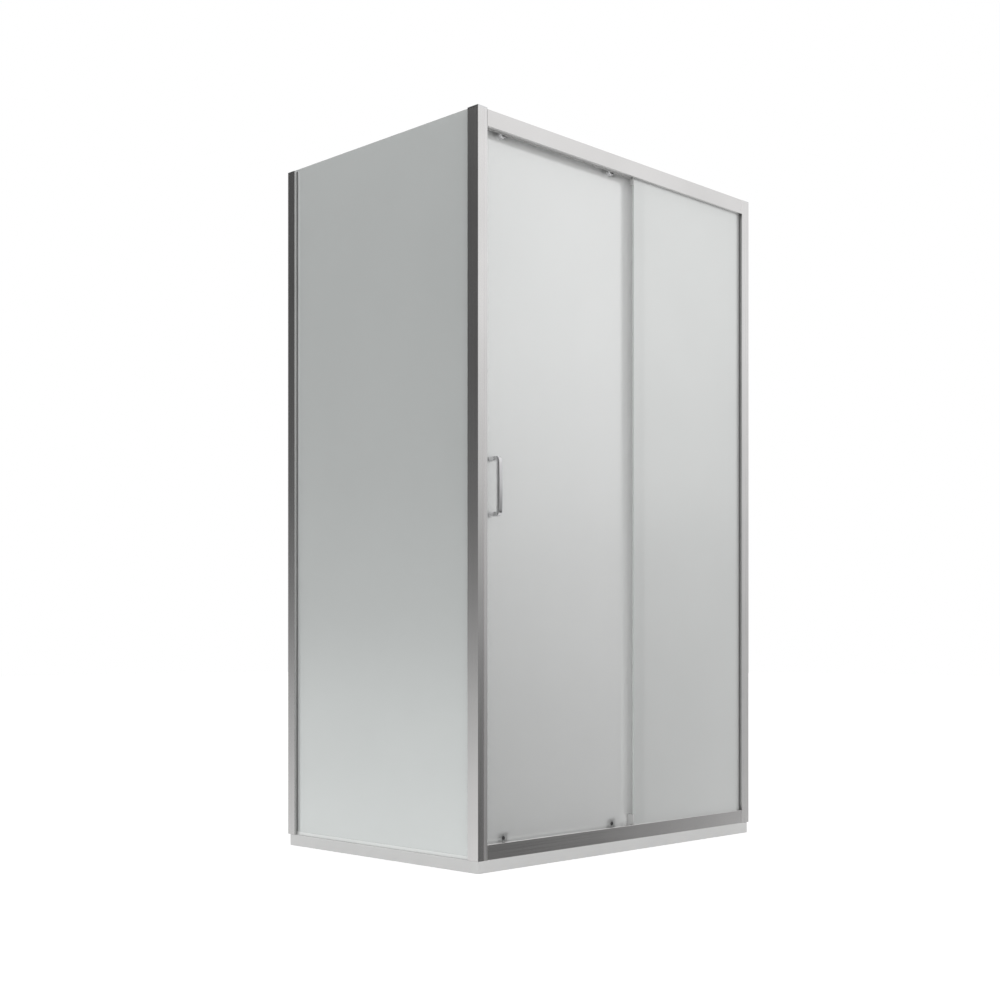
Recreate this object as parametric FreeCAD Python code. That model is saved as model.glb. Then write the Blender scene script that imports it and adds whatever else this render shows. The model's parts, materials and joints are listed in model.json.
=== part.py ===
import FreeCAD, Part
import math
import os

# Corner shower enclosure on a low tray: a front with a sliding door and a fixed pane, and a fixed side
# pane, between a wall on the right and a wall at the rear.
#
# Every piece is drawn from the outer front left corner of the frame at floor level: X runs right along
# the front, Y runs inward along the side, Z runs up, all in millimetres. main() then moves the whole so
# that the origin lies under the middle of its box.

V = FreeCAD.Vector

# ---- Driving dimensions, in mm ----

# Enclosure
FRONT_LENGTH = 1194.0  # outer face of the side to the wall on the right
SIDE_LENGTH = 800.0  # front face to the wall at the rear
FRAME_HEIGHT = 1950.0  # rim of the tray to the top of the head rail
FRAME_DEPTH = 60.0  # head rail, sill, strike profile and right wall profile

# Tray
TRAY_HEIGHT = 32.0
TRAY_GAP_RIGHT = 7.0  # end of the tray to the wall, filled with sealant on site
TRAY_GAP_REAR = 9.0
TRAY_CORNER_RADIUS = 3.0
TRAY_EDGE_RADIUS = 1.5
RIM_MARGIN = 14.0  # rim that shows inside the frame
BASIN_STEP = 6.0  # rim down to the edge of the basin's floor
BASIN_STEP_RUN = 8.0  # width of that sloped step
BASIN_FALL = 8.0  # further fall of the floor to the waste

# Waste
WASTE_FROM_REAR = 190.0  # axis of the waste to the rear edge of the tray
WASTE_BORE_RADIUS = 41.0  # outlet under the tray, for the trap
WASTE_SKIRT_WALL = 3.0
WASTE_FLANGE_WIDTH = 11.0
WASTE_FLANGE_THICKNESS = 2.5
WASTE_SEAL_THICKNESS = 1.5
WASTE_NUT_THICKNESS = 5.0
WASTE_NUT_WALL = 10.0
WASTE_RECESS_HEIGHT = 8.0  # recess under the tray, round the nut
WASTE_HOLE_CLEARANCE = 1.0
COVER_RISE = 3.5  # gap under the cover, where the water goes in
COVER_THICKNESS = 2.5
COVER_DOME = 2.0
COVER_FLAT_SHARE = 0.7  # radius of the ring where the dome meets the sloped border
COVER_FEET = 3
COVER_FOOT_RADIUS = 2.5
COVER_SOCKET_DEPTH = 1.0

# Extrusions and glass
EXTRUSION_WALL = 2.0
EXTRUSION_EDGE_RADIUS = 0.8
LARGEST_EDGE_SHARE = 0.45  # of the wall that an edge radius may take away
GLASS_THICKNESS = 6.0
GLASS_CHAMFER = 0.4
GLASS_SETBACK = 10.5  # outer face of the frame to the outer face of a fixed pane
GASKET_THICKNESS = 2.0
GASKET_DEPTH = 6.0
POCKET_DEPTH = 14.0  # upright glass pockets
RAIL_POCKET_DEPTH = 20.0  # glass pockets in the head rail and the sill
GLASS_EDGE_GAP = 3.0  # edge of a pane to the bottom of its pocket

# Corner post and strike profile
POST_WIDTH = 22.4
POST_DEPTH = 38.8
STRIKE_WIDTH = 12.5
STRIKE_SETBACK = 0.6
CORNER_CAP_THICKNESS = 4.0
CAP_PLUG_LENGTH = 8.0
CAP_PLUG_CLEARANCE = 0.3
POST_SCREW_COUNT = 3
POST_SCREW_GRIP = 4.0  # end of a screw beyond the post's wall
SCREW_HEAD_RADIUS_RATIO = 2.0  # to the radius of the shank
SCREW_HEAD_HEIGHT_RATIO = 1.5

# Wall profiles and the channels that they slide over
SIDE_PROFILE_DEPTH = 31.0
SIDE_PROFILE_WIDTH = 27.0
RIGHT_PROFILE_WIDTH = 35.0
WALL_CAP_THICKNESS = 2.0
CHANNEL_LEG = 24.0
CHANNEL_CLEARANCE = 0.6
WALL_SCREW_RADIUS = 2.75  # empty holes for the screws into the wall
WALL_SCREW_OUTER_SPACING = 1680.0
WALL_SCREW_INNER_SPACING = 560.0
LOCKING_SCREW_RADIUS = 2.0
LOCKING_SCREW_SPACING = 820.0

# Head rail and sill
HEAD_RAIL_HEIGHT = 44.0
SILL_HEIGHT = 40.0
SILL_REAR_HEIGHT = 26.0
SILL_POCKET_REAR_DROP = 6.0  # rear wall of the sill's pocket below its front lip
TRACK_RISE = 7.0  # lower edge of the head rail to the underside of the track
TRACK_BEAD_WIDTH = 2.4
TRACK_LIP = 0.2  # track in front of the bead
TRACK_FLANGE_CLEARANCE = 0.8  # wheel flange to the floor beside the bead
SCREW_PORT_RADIUS = 3.4
SCREW_PORT_SINK = 0.3  # how far a port is let into the walls beside it
RAIL_SCREW_RADIUS = 1.5
RAIL_SCREW_LENGTH = 18.0
INFILL_HEIGHT = 5.0
INFILL_DROP = 2.0

# Fixed pane
FIXED_EDGE_PAST_MIDDLE = 45.0  # free edge of the fixed pane, to the right of the front's middle
SEAL_BASE_HEIGHT = 4.0  # seal under the side pane
SEAL_LIP_HEIGHT = 5.0
SEAL_LIP_THICKNESS = 1.5
SIDE_PANE_OVER_FRAME = 7.0  # top edge of the side pane above the frame
SETTING_BLOCK_LENGTH = 60.0
CLIP_LENGTH = 25.0
CLIP_WALL = 2.0
CLIP_CLEARANCE = 0.3
SILL_CLIP_HEIGHT = 28.0
SILL_CLIP_DOOR_GAP = 2.0
HEAD_CLIP_HEIGHT = 18.0
HEAD_CLIP_REAR = 5.5  # behind the fixed pane, clear of the door's knobs
CLIP_HOOK = 14.0

# Door
DOOR_GAP = 18.5  # inner face of the fixed pane to the outer face of the door
DOOR_OVERLAP = 48.0  # door behind the fixed pane when shut
HANDLE_OPEN_GAP = 95.5  # handle to the clips of the fixed pane when the door is open
DOOR_TOP_GAP = 8.0  # top edge of the door to the ceiling of the head rail
DOOR_BOTTOM_GAP = 16.0  # floor of the sill to the bottom edge of the door
STRIKE_SEAL_THICKNESS = 4.0
STRIKE_SEAL_WIDTH = 10.0
DOOR_SEAL_NOSE = 5.0
DOOR_SEAL_LEG = 6.0
DOOR_SEAL_WALL = 1.5
DOOR_SEAL_END_GAP = 3.0  # ends of the upright seals to the rails
CONTACT_GAP = 0.3  # between soft or rolling pieces of two bodies
FIN_THICKNESS = 1.0
FIN_PANE_GAP = 0.5
BOTTOM_SEAL_HEIGHT = 5.0
BOTTOM_SEAL_INSET = 0.5

# Top carriages
KNOB_INSETS = (74.2, 130.4)  # left and right edge of the door to the nearest knob
KNOB_RADIUS = 12.0
KNOB_TOP_RADIUS = 8.5
KNOB_HEIGHT = 10.5
KNOB_EDGE_RADIUS = 2.0
KNOB_WASHER_THICKNESS = 1.0
KNOB_WASHER_MARGIN = 0.5
KNOB_BOLT_RADIUS = 4.0
KNOB_HOLE_RADIUS = 7.0  # hole in the glass
KNOB_NUT_RADIUS = 5.8
KNOB_NUT_THICKNESS = 2.0
PLATE_THICKNESS = 2.5
PLATE_MARGIN = 14.0  # plate beyond the wheel axles
PLATE_TOP_MARGIN = 8.0
PLATE_BOTTOM_MARGIN = 10.0
WHEEL_SPREAD = 16.0  # knob to each wheel axle, along the track
WHEEL_RISE = 16.0  # knob up to the wheel axles
TOP_TREAD_RADIUS = 10.0
BOTTOM_TREAD_RADIUS = 9.0
WHEEL_FLANGE_HEIGHT = 1.5
WHEEL_WIDTH = 7.0
WHEEL_SIDE_GAP = 0.5
WHEEL_RIM_GAP = 1.0  # round a wheel inside its housing
WHEEL_GROOVE_CLEARANCE = 0.4
WHEEL_TRACK_GAP = 0.15
AXLE_RADIUS = 2.5
AXLE_HEAD_RADIUS = 4.0
AXLE_HEAD_THICKNESS = 1.5
BEARING_RADIUS = 5.5
BEARING_RECESS = 0.4  # bearing's side face inside the wheel's side face
BEARING_CLEARANCE = 0.08
STOP_LENGTH = 12.0
STOP_HEIGHT = 18.0

# Bottom rollers and their release buttons
BUTTON_INSETS = (85.5, 117.2)  # left and right edge of the door to the nearest button
BUTTON_HEIGHT = 33.0  # axle of the bottom wheel to the axis of the button
BUTTON_RADIUS = 5.0
BUTTON_PROUD = 1.0
BUTTON_TRAVEL = 3.0
BUTTON_CLEARANCE = 0.3
BUTTON_COLLAR = 1.6
BUTTON_COLLAR_THICKNESS = 2.0
BUTTON_STEM_RADIUS = 2.5
HOUSING_LIP = 2.0
HOUSING_HALF_LENGTH = 17.0
HOUSING_TOP_MARGIN = 13.5
HOUSING_REAR_WALL = 2.0
HOUSING_SKIRT = 4.0  # cheeks of the housing below the axle
HOUSING_CORNER_RADIUS = 4.0
BUTTON_HOLE_RADIUS = 6.0  # hole in the glass
SPRING_WIRE = 0.8
SPRING_PITCH = 1.0  # pressed

# Handles
HANDLE_ABOVE_TRAY = 975.0  # middle of the handles
HANDLE_FROM_EDGE = 34.0
HANDLE_BAR = 12.0
HANDLE_LENGTH = 158.0
HANDLE_REACH = 41.2
HANDLE_EDGE_RADIUS = 1.2
HANDLE_WASHER_THICKNESS = 0.8
HANDLE_WASHER_RADIUS = 5.6
HANDLE_SCREW_RADIUS = 2.5
HANDLE_SCREW_DEPTH = 12.0  # into each handle
HANDLE_HOLE_RADIUS = 5.0  # hole in the glass

# Drawing
TOLERANCE = 1e-6

# ---- Places that several pieces share ----

wall = EXTRUSION_WALL
edge_radius = min(EXTRUSION_EDGE_RADIUS, LARGEST_EDGE_SHARE * EXTRUSION_WALL)

# A fixed pane lies the same distance in from the outer face on the front (along Y) and the side (along X).
pane = (GLASS_SETBACK, GLASS_SETBACK + GLASS_THICKNESS)
pocket = (pane[0] - GASKET_THICKNESS, pane[1] + GASKET_THICKNESS)

frame_bottom = TRAY_HEIGHT
frame_top = TRAY_HEIGHT + FRAME_HEIGHT
upright = (frame_bottom, frame_top)

rail_start = POST_WIDTH + STRIKE_WIDTH
rail_end = FRONT_LENGTH - RIGHT_PROFILE_WIDTH
rail_span = (rail_start, rail_end)
head_bottom = frame_top - HEAD_RAIL_HEIGHT
head_ceiling = frame_top - wall
sill_top = frame_bottom + SILL_HEIGHT
sill_floor = frame_bottom + wall

side_profile_front = SIDE_LENGTH - SIDE_PROFILE_DEPTH
fixed_right = rail_end + POCKET_DEPTH - GLASS_EDGE_GAP
fixed_left = FRONT_LENGTH / 2 + FIXED_EDGE_PAST_MIDDLE

door_front = pane[1] + DOOR_GAP
door_back = door_front + GLASS_THICKNESS
door_left = rail_start + STRIKE_SEAL_THICKNESS + CONTACT_GAP + DOOR_SEAL_NOSE
door_right = fixed_left + DOOR_OVERLAP
door_bottom = sill_floor + DOOR_BOTTOM_GAP
door_top = head_ceiling - DOOR_TOP_GAP
seal_span = (sill_top + DOOR_SEAL_END_GAP, head_bottom - DOOR_SEAL_END_GAP)

track_y = door_back + PLATE_THICKNESS + WHEEL_SIDE_GAP + WHEEL_WIDTH / 2
wheel_span = (track_y - WHEEL_WIDTH / 2, track_y + WHEEL_WIDTH / 2)
track_bead_height = WHEEL_FLANGE_HEIGHT + TRACK_FLANGE_CLEARANCE
track_top = head_bottom + TRACK_RISE + wall
top_axle_z = track_top + track_bead_height + WHEEL_TRACK_GAP + TOP_TREAD_RADIUS
bottom_axle_z = sill_floor + track_bead_height + WHEEL_TRACK_GAP + BOTTOM_TREAD_RADIUS

knob_z = top_axle_z - WHEEL_RISE
knob_xs = [door_left + KNOB_INSETS[0], door_right - KNOB_INSETS[1]]
top_wheel_xs = [x + side * WHEEL_SPREAD for x in knob_xs for side in (-1, 1)]
button_z = bottom_axle_z + BUTTON_HEIGHT
button_xs = [door_left + BUTTON_INSETS[0], door_right - BUTTON_INSETS[1]]

handle_x = door_left + HANDLE_FROM_EDGE
handle_z = frame_bottom + HANDLE_ABOVE_TRAY
clip_left = fixed_left - CLIP_WALL - CLIP_CLEARANCE
door_travel = clip_left - HANDLE_OPEN_GAP - HANDLE_BAR / 2 - handle_x
handle_screw_zs = [handle_z + side * (HANDLE_LENGTH - HANDLE_BAR) / 2 for side in (-1, 1)]

# Rail screws sit in round ports in the lower or upper corners of the rails.
port_in = SCREW_PORT_RADIUS - SCREW_PORT_SINK
port_ys = [pocket[1] + wall + port_in, FRAME_DEPTH - wall - port_in]
port_zs = [sill_floor + port_in, head_ceiling - port_in]

tray_length = FRONT_LENGTH - TRAY_GAP_RIGHT
tray_width = SIDE_LENGTH - TRAY_GAP_REAR
rim = FRAME_DEPTH + RIM_MARGIN
basin_edge_z = TRAY_HEIGHT - BASIN_STEP
basin_low_z = basin_edge_z - BASIN_FALL
waste_x = tray_length / 2
waste_y = tray_width - WASTE_FROM_REAR
waste_skirt_radius = WASTE_BORE_RADIUS + WASTE_SKIRT_WALL
waste_flange_radius = waste_skirt_radius + WASTE_FLANGE_WIDTH
waste_seat_z = basin_low_z - WASTE_FLANGE_THICKNESS - WASTE_SEAL_THICKNESS


# ---- Tools for shapes ----


def block(x, y, z):
    """A box between the (low, high) pairs x, y and z."""
    return Part.makeBox(x[1] - x[0], y[1] - y[0], z[1] - z[0], V(x[0], y[0], z[0]))


def span(a, b):
    """The (low, high) pair of two numbers in any order."""
    return (min(a, b), max(a, b))


def about(middle, half):
    """The (low, high) pair round a middle."""
    return (middle - half, middle + half)


def glazing(x, y, z):
    """A pane of glass between the pairs x, y and z, with its edges taken off."""
    sheet = block(x, y, z)
    return sheet.makeChamfer(GLASS_CHAMFER, sheet.Edges)


def rod(radius, x, y, z):
    """A cylinder: one of x, y and z is the (low, high) pair it runs along, the others are numbers."""
    starts = [c[0] if isinstance(c, tuple) else c for c in (x, y, z)]
    ends = [c[1] if isinstance(c, tuple) else c for c in (x, y, z)]
    run = V(*ends) - V(*starts)
    return Part.makeCylinder(radius, run.Length, V(*starts), run)


def joined(shapes):
    """One solid of shapes that touch or overlap."""
    shapes = list(shapes)
    return shapes[0].multiFuse(shapes[1:]).removeSplitter()


def cut(shape, tools):
    """The shape without the tools."""
    return shape.cut(Part.makeCompound(list(tools))).removeSplitter()


def turned(outline, centre, axis):
    """A solid of revolution. The outline holds (radius, distance along the axis) points."""
    radial = V(1, 0, 0)
    points = [centre + radial * r + axis * t for r, t in outline]
    face = Part.Face(Part.makePolygon(points + points[:1]))
    return face.revolve(centre, axis, 360)


def rounded(shape, radius, test):
    """The shape with each edge for which test(edge) holds rounded off."""
    edges = [e for e in shape.Edges if test(e)]
    return shape.makeFillet(radius, edges)


def lies_at(low, high, place):
    """Whether both low and high are at that place."""
    return abs(low - place) < TOLERANCE and abs(high - place) < TOLERANCE


def runs_along(edge, axis, length):
    """Whether a straight edge is parallel to the axis ("x", "y" or "z") and has that length."""
    box = edge.BoundBox
    size = {"x": box.XLength, "y": box.YLength, "z": box.ZLength}
    return abs(size[axis] - length) < TOLERANCE and abs(edge.Length - length) < TOLERANCE


def pocket_section(mouth, inward, depth, lip_from):
    """Rectangles (across the pane, along its depth) of a glass pocket with walls, bottom and one front lip.

    mouth is the plane of the opening, inward is 1 or -1, and lip_from is where the lip starts.
    """
    floor = mouth + inward * depth
    deep = span(mouth, floor + inward * wall)
    return [
        ((pocket[0] - wall, pocket[0]), deep),
        ((pocket[1], pocket[1] + wall), deep),
        ((pocket[0] - wall, pocket[1] + wall), span(floor, floor + inward * wall)),
        ((lip_from, pocket[0]), span(mouth, mouth + inward * wall)),
    ]


def gasket_section(mouth, inward):
    """Rectangles (across the pane, along its depth) of the two gasket strips beside a pane."""
    deep = span(mouth, mouth + inward * GASKET_DEPTH)
    return [((pocket[0], pane[0]), deep), ((pane[1], pocket[1]), deep)]


def screw(radius, head, tip, y, z):
    """A pan head screw along X: head and tip are the X of the head's seat and of the end."""
    out = 1 if head > tip else -1
    shank = rod(radius, span(head, tip), y, z)
    head_end = head + out * SCREW_HEAD_HEIGHT_RATIO * radius
    top = rod(SCREW_HEAD_RADIUS_RATIO * radius, span(head, head_end), y, z)
    return joined([shank, top])


# ---- Sub-assemblies. Each returns its nodes by name ----


def tray_parts():
    """The tray, with its basin falling to the waste hole, and the fittings of the waste."""
    body = block((0, tray_length), (0, tray_width), (0, TRAY_HEIGHT))
    body = rounded(body, TRAY_CORNER_RADIUS, lambda e: runs_along(e, "z", TRAY_HEIGHT))
    edge = min(TRAY_EDGE_RADIUS, LARGEST_EDGE_SHARE * TRAY_CORNER_RADIUS)
    body = rounded(body, edge, lambda e: e.BoundBox.ZMin > TRAY_HEIGHT - TOLERANCE)

    def rectangle(x, y, z):
        corners = [V(x[0], y[0], z), V(x[1], y[0], z), V(x[1], y[1], z), V(x[0], y[1], z)]
        return Part.makePolygon(corners + corners[:1])

    foot = waste_flange_radius + WASTE_HOLE_CLEARANCE
    outer = [(rim, tray_length - rim), (rim, tray_width - rim)]
    floor = [(low + BASIN_STEP_RUN, high - BASIN_STEP_RUN) for low, high in outer]
    around = [about(waste_x, foot), about(waste_y, foot)]
    step = Part.makeLoft([rectangle(*outer, TRAY_HEIGHT), rectangle(*floor, basin_edge_z)], True, True)
    fall = Part.makeLoft([rectangle(*floor, basin_edge_z), rectangle(*around, basin_low_z)], True, True)

    hole_radius = waste_skirt_radius + WASTE_HOLE_CLEARANCE
    seat = rod(foot, waste_x, waste_y, (waste_seat_z, basin_low_z))
    hole = rod(hole_radius, waste_x, waste_y, (0, waste_seat_z))
    recess_radius = waste_skirt_radius + WASTE_NUT_WALL + WASTE_HOLE_CLEARANCE
    recess = rod(recess_radius, waste_x, waste_y, (0, WASTE_RECESS_HEIGHT))
    body = cut(body, [step.fuse(fall), seat, hole, recess])

    flange_z = (basin_low_z - WASTE_FLANGE_THICKNESS, basin_low_z)
    skirt_bottom = WASTE_RECESS_HEIGHT - WASTE_NUT_THICKNESS - WASTE_HOLE_CLEARANCE
    flange = rod(waste_flange_radius, waste_x, waste_y, flange_z)
    skirt = rod(waste_skirt_radius, waste_x, waste_y, (skirt_bottom, flange_z[1]))
    bore = rod(WASTE_BORE_RADIUS, waste_x, waste_y, (skirt_bottom, flange_z[1]))
    foot_ring = waste_skirt_radius + WASTE_FLANGE_WIDTH / 2
    feet = [
        (waste_x + foot_ring * math.cos(turn), waste_y + foot_ring * math.sin(turn))
        for turn in (2 * math.pi * i / COVER_FEET for i in range(COVER_FEET))
    ]
    socket_z = (basin_low_z - COVER_SOCKET_DEPTH, basin_low_z)
    sockets = [rod(COVER_FOOT_RADIUS + CONTACT_GAP, x, y, socket_z) for x, y in feet]
    flange = cut(joined([flange, skirt]), [bore] + sockets)

    seal = rod(waste_flange_radius, waste_x, waste_y, (waste_seat_z, flange_z[0]))
    seal = cut(seal, [rod(waste_skirt_radius, waste_x, waste_y, (waste_seat_z, flange_z[0]))])

    nut_z = (WASTE_RECESS_HEIGHT - WASTE_NUT_THICKNESS, WASTE_RECESS_HEIGHT)
    nut = rod(waste_skirt_radius + WASTE_NUT_WALL, waste_x, waste_y, nut_z)
    nut = cut(nut, [rod(waste_skirt_radius, waste_x, waste_y, nut_z)])

    under = basin_low_z + COVER_RISE
    top = under + COVER_THICKNESS
    radius = waste_flange_radius - WASTE_HOLE_CLEARANCE
    outline = [
        (0, under),
        (radius, under),
        (radius, top - COVER_DOME / 2),
        (radius * COVER_FLAT_SHARE, top),
        (0, top + COVER_DOME / 2),
    ]
    dome = turned(outline, V(waste_x, waste_y, 0), V(0, 0, 1))
    legs = [rod(COVER_FOOT_RADIUS, x, y, (socket_z[0], under + COVER_THICKNESS / 2)) for x, y in feet]
    return {
        "shower_tray": body,
        "waste_flange": flange,
        "waste_seal": seal,
        "waste_nut": nut,
        "waste_cover": joined([dome] + legs),
    }


def corner_parts():
    """Corner post, strike profile and the cap over both, with the screws between them."""
    section = [
        ((0, POST_WIDTH), (0, wall)),
        ((0, wall), (0, POST_DEPTH)),
        ((POST_WIDTH - wall, POST_WIDTH), (0, POST_DEPTH)),
        ((pocket[1], POST_WIDTH), (POST_DEPTH - wall, POST_DEPTH)),
    ] + pocket_section(POST_DEPTH, -1, POCKET_DEPTH, 0)
    post = joined(block(x, y, upright) for x, y in section)
    post = rounded(post, edge_radius, lambda e: runs_along(e, "z", FRAME_HEIGHT) and outer_corner(e))

    strike_x = (POST_WIDTH, rail_start)
    strike_y = (STRIKE_SETBACK, FRAME_DEPTH)
    strike = cut(
        block(strike_x, strike_y, upright),
        [block((strike_x[0] + wall, strike_x[1] - wall), (strike_y[0] + wall, strike_y[1] - wall), upright)],
    )

    screw_y = (POST_DEPTH - POCKET_DEPTH) / 2
    screw_zs = [frame_bottom + FRAME_HEIGHT * (i + 0.5) / POST_SCREW_COUNT for i in range(POST_SCREW_COUNT)]
    head, tip = POST_WIDTH + wall, POST_WIDTH - wall - POST_SCREW_GRIP
    holes = [rod(RAIL_SCREW_RADIUS, (tip, head), screw_y, z) for z in screw_zs]
    strike_wall = (rail_start - wall, rail_start)
    rail_holes = [rod(RAIL_SCREW_RADIUS, strike_wall, y, z) for y in port_ys for z in port_zs]
    post_screws = [screw(RAIL_SCREW_RADIUS, head, tip, screw_y, z) for z in screw_zs]

    cap_z = (frame_top, frame_top + CORNER_CAP_THICKNESS)
    plate = joined([block((0, POST_WIDTH), (0, POST_DEPTH), cap_z), block(strike_x, strike_y, cap_z)])
    slot = block(pocket, (POST_DEPTH - POCKET_DEPTH, POST_DEPTH), cap_z)
    plug_z = (frame_top - CAP_PLUG_LENGTH, frame_top)
    inside = wall + CAP_PLUG_CLEARANCE
    plugs = [
        block((inside, POST_WIDTH - inside), (inside, POST_DEPTH - POCKET_DEPTH - inside), plug_z),
        block(
            (strike_x[0] + inside, strike_x[1] - inside),
            (strike_y[0] + inside, port_ys[0] - 2 * SCREW_PORT_RADIUS),
            plug_z,
        ),
    ]
    cap = joined([cut(plate, [slot])] + plugs)
    gasket = [block(x, y, upright) for x, y in gasket_section(POST_DEPTH, -1)]
    strike_seal_y = about((door_front + door_back) / 2, STRIKE_SEAL_WIDTH / 2)
    strike_seal_x = (rail_start, rail_start + STRIKE_SEAL_THICKNESS)
    return {
        "corner_post": cut(post, holes),
        "corner_gasket": Part.makeCompound(gasket),
        "strike_profile": cut(strike, holes + rail_holes),
        "strike_seal": block(strike_seal_x, strike_seal_y, (sill_top, head_bottom)),
        "corner_cap": cap,
        "post_screws": Part.makeCompound(post_screws),
    }


def outer_corner(edge):
    """Whether an upright edge of the post lies on its outer front corners."""
    box = edge.BoundBox
    return box.YMax < TOLERANCE and (box.XMax < TOLERANCE or box.XMin > POST_WIDTH - TOLERANCE)


def wall_screw_zs():
    """Heights of the four empty holes in a wall channel."""
    middle = (frame_bottom + frame_top) / 2
    spacings = (WALL_SCREW_OUTER_SPACING, WALL_SCREW_INNER_SPACING)
    return [middle + side * spacing / 2 for spacing in spacings for side in (-1, 1)]


def locking_screw_zs():
    """Heights of the screws that hold a profile on its channel."""
    middle = (frame_bottom + frame_top) / 2
    return [middle + i * LOCKING_SCREW_SPACING for i in (-1, 0, 1)]


def side_panel_parts():
    """The side pane with its seal, and the profile and channel at the rear wall."""
    width = (0, SIDE_PROFILE_WIDTH)
    depth = (side_profile_front, SIDE_LENGTH)
    profile_top = frame_top
    section = [
        ((0, wall), depth),
        ((width[1] - wall, width[1]), depth),
        ((pocket[1], width[1]), (depth[0], depth[0] + wall)),
    ] + pocket_section(side_profile_front, 1, POCKET_DEPTH, 0)
    profile = joined(block(x, y, (frame_bottom, profile_top)) for x, y in section)
    profile = rounded(
        profile,
        edge_radius,
        lambda e: runs_along(e, "z", FRAME_HEIGHT)
        and e.BoundBox.YMax < depth[0] + TOLERANCE
        and (e.BoundBox.XMax < TOLERANCE or e.BoundBox.XMin > width[1] - TOLERANCE),
    )

    leg_out = (wall + CHANNEL_CLEARANCE, 2 * wall + CHANNEL_CLEARANCE)
    leg_in = (width[1] - leg_out[1], width[1] - leg_out[0])
    leg_y = (SIDE_LENGTH - CHANNEL_LEG, SIDE_LENGTH)
    web_y = (SIDE_LENGTH - wall, SIDE_LENGTH)
    channel = joined(
        [
            block(leg_out, leg_y, upright),
            block(leg_in, leg_y, upright),
            block((leg_out[0], leg_in[1]), web_y, upright),
        ]
    )
    screw_x = (leg_out[0] + leg_in[1]) / 2
    channel = cut(channel, [rod(WALL_SCREW_RADIUS, screw_x, web_y, z) for z in wall_screw_zs()])

    # Locking screws go in from the cabin, halfway along the overlap of profile and channel.
    lock_y = (side_profile_front + POCKET_DEPTH + wall + web_y[0]) / 2
    lock_x = (leg_in[0] - wall, width[1])
    locks = [screw(LOCKING_SCREW_RADIUS, lock_x[1], lock_x[0], lock_y, z) for z in locking_screw_zs()]
    lock_holes = [rod(LOCKING_SCREW_RADIUS, lock_x, lock_y, z) for z in locking_screw_zs()]

    cap = block(width, depth, (profile_top, profile_top + WALL_CAP_THICKNESS))
    slot = block(pocket, (depth[0], depth[0] + POCKET_DEPTH), (profile_top, profile_top + WALL_CAP_THICKNESS))
    glass_y = (POST_DEPTH - POCKET_DEPTH + GLASS_EDGE_GAP, side_profile_front + POCKET_DEPTH - GLASS_EDGE_GAP)
    glass_z = (frame_bottom + SEAL_BASE_HEIGHT, frame_top + SIDE_PANE_OVER_FRAME)

    seal_y = (POST_DEPTH, side_profile_front)
    lip_z = (frame_bottom, glass_z[0] + SEAL_LIP_HEIGHT)
    seal_x = (pane[0] - SEAL_LIP_THICKNESS, pane[1] + SEAL_LIP_THICKNESS)
    seal = joined(
        [
            block(seal_x, seal_y, (frame_bottom, glass_z[0])),
            block((seal_x[0], pane[0]), seal_y, lip_z),
            block((pane[1], seal_x[1]), seal_y, lip_z),
        ]
    )
    gasket = [block(x, y, (frame_bottom, profile_top)) for x, y in gasket_section(side_profile_front, 1)]
    return {
        "side_glass": glazing(pane, glass_y, glass_z),
        "side_bottom_seal": seal,
        "side_wall_profile": cut(profile, lock_holes),
        "side_wall_gasket": Part.makeCompound(gasket),
        "side_wall_cap": cut(cap, [slot]),
        "side_wall_channel": cut(channel, lock_holes),
        "side_locking_screws": Part.makeCompound(locks),
    }


def right_wall_parts():
    """The profile and channel at the right wall."""
    profile_top = frame_top - WALL_CAP_THICKNESS
    depth = (0, FRAME_DEPTH)
    width = (rail_end, FRONT_LENGTH)
    side = (rail_end, rail_end + wall)
    section = [
        ((0, wall), width),
        ((FRAME_DEPTH - wall, FRAME_DEPTH), width),
        ((pocket[1], FRAME_DEPTH), side),
    ] + pocket_section(rail_end, 1, POCKET_DEPTH, 0)
    profile = joined(block(x, y, (frame_bottom, profile_top)) for y, x in section)

    leg_front = (wall + CHANNEL_CLEARANCE, 2 * wall + CHANNEL_CLEARANCE)
    leg_back = (depth[1] - leg_front[1], depth[1] - leg_front[0])
    leg_x = (FRONT_LENGTH - CHANNEL_LEG, FRONT_LENGTH)
    web_x = (FRONT_LENGTH - wall, FRONT_LENGTH)
    channel_z = (frame_bottom, profile_top)
    channel = joined(
        [
            block(leg_x, leg_front, channel_z),
            block(leg_x, leg_back, channel_z),
            block(web_x, (leg_front[0], leg_back[1]), channel_z),
        ]
    )
    screw_y = (leg_front[0] + leg_back[1]) / 2
    channel = cut(channel, [rod(WALL_SCREW_RADIUS, web_x, screw_y, z) for z in wall_screw_zs()])

    lock_x = (rail_end + POCKET_DEPTH + wall + web_x[0]) / 2
    lock_y = (leg_back[0] - wall, depth[1])
    lock_holes = [rod(LOCKING_SCREW_RADIUS, lock_x, lock_y, z) for z in locking_screw_zs()]
    heads_y = (depth[1], depth[1] + SCREW_HEAD_HEIGHT_RATIO * LOCKING_SCREW_RADIUS)
    head_radius = SCREW_HEAD_RADIUS_RATIO * LOCKING_SCREW_RADIUS
    locks = [
        joined([hole, rod(head_radius, lock_x, heads_y, z)])
        for hole, z in zip(lock_holes, locking_screw_zs())
    ]
    rail_holes = [rod(RAIL_SCREW_RADIUS, side, y, z) for y in port_ys for z in port_zs]
    gasket_z = (sill_top, head_bottom)
    gasket = [block(x, y, gasket_z) for y, x in gasket_section(rail_end, 1)]
    return {
        "right_wall_profile": cut(profile, lock_holes + rail_holes),
        "right_wall_gasket": Part.makeCompound(gasket),
        "right_wall_cap": block(width, depth, (profile_top, frame_top)),
        "right_wall_channel": cut(channel, lock_holes),
        "right_locking_screws": Part.makeCompound(locks),
    }


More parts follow.
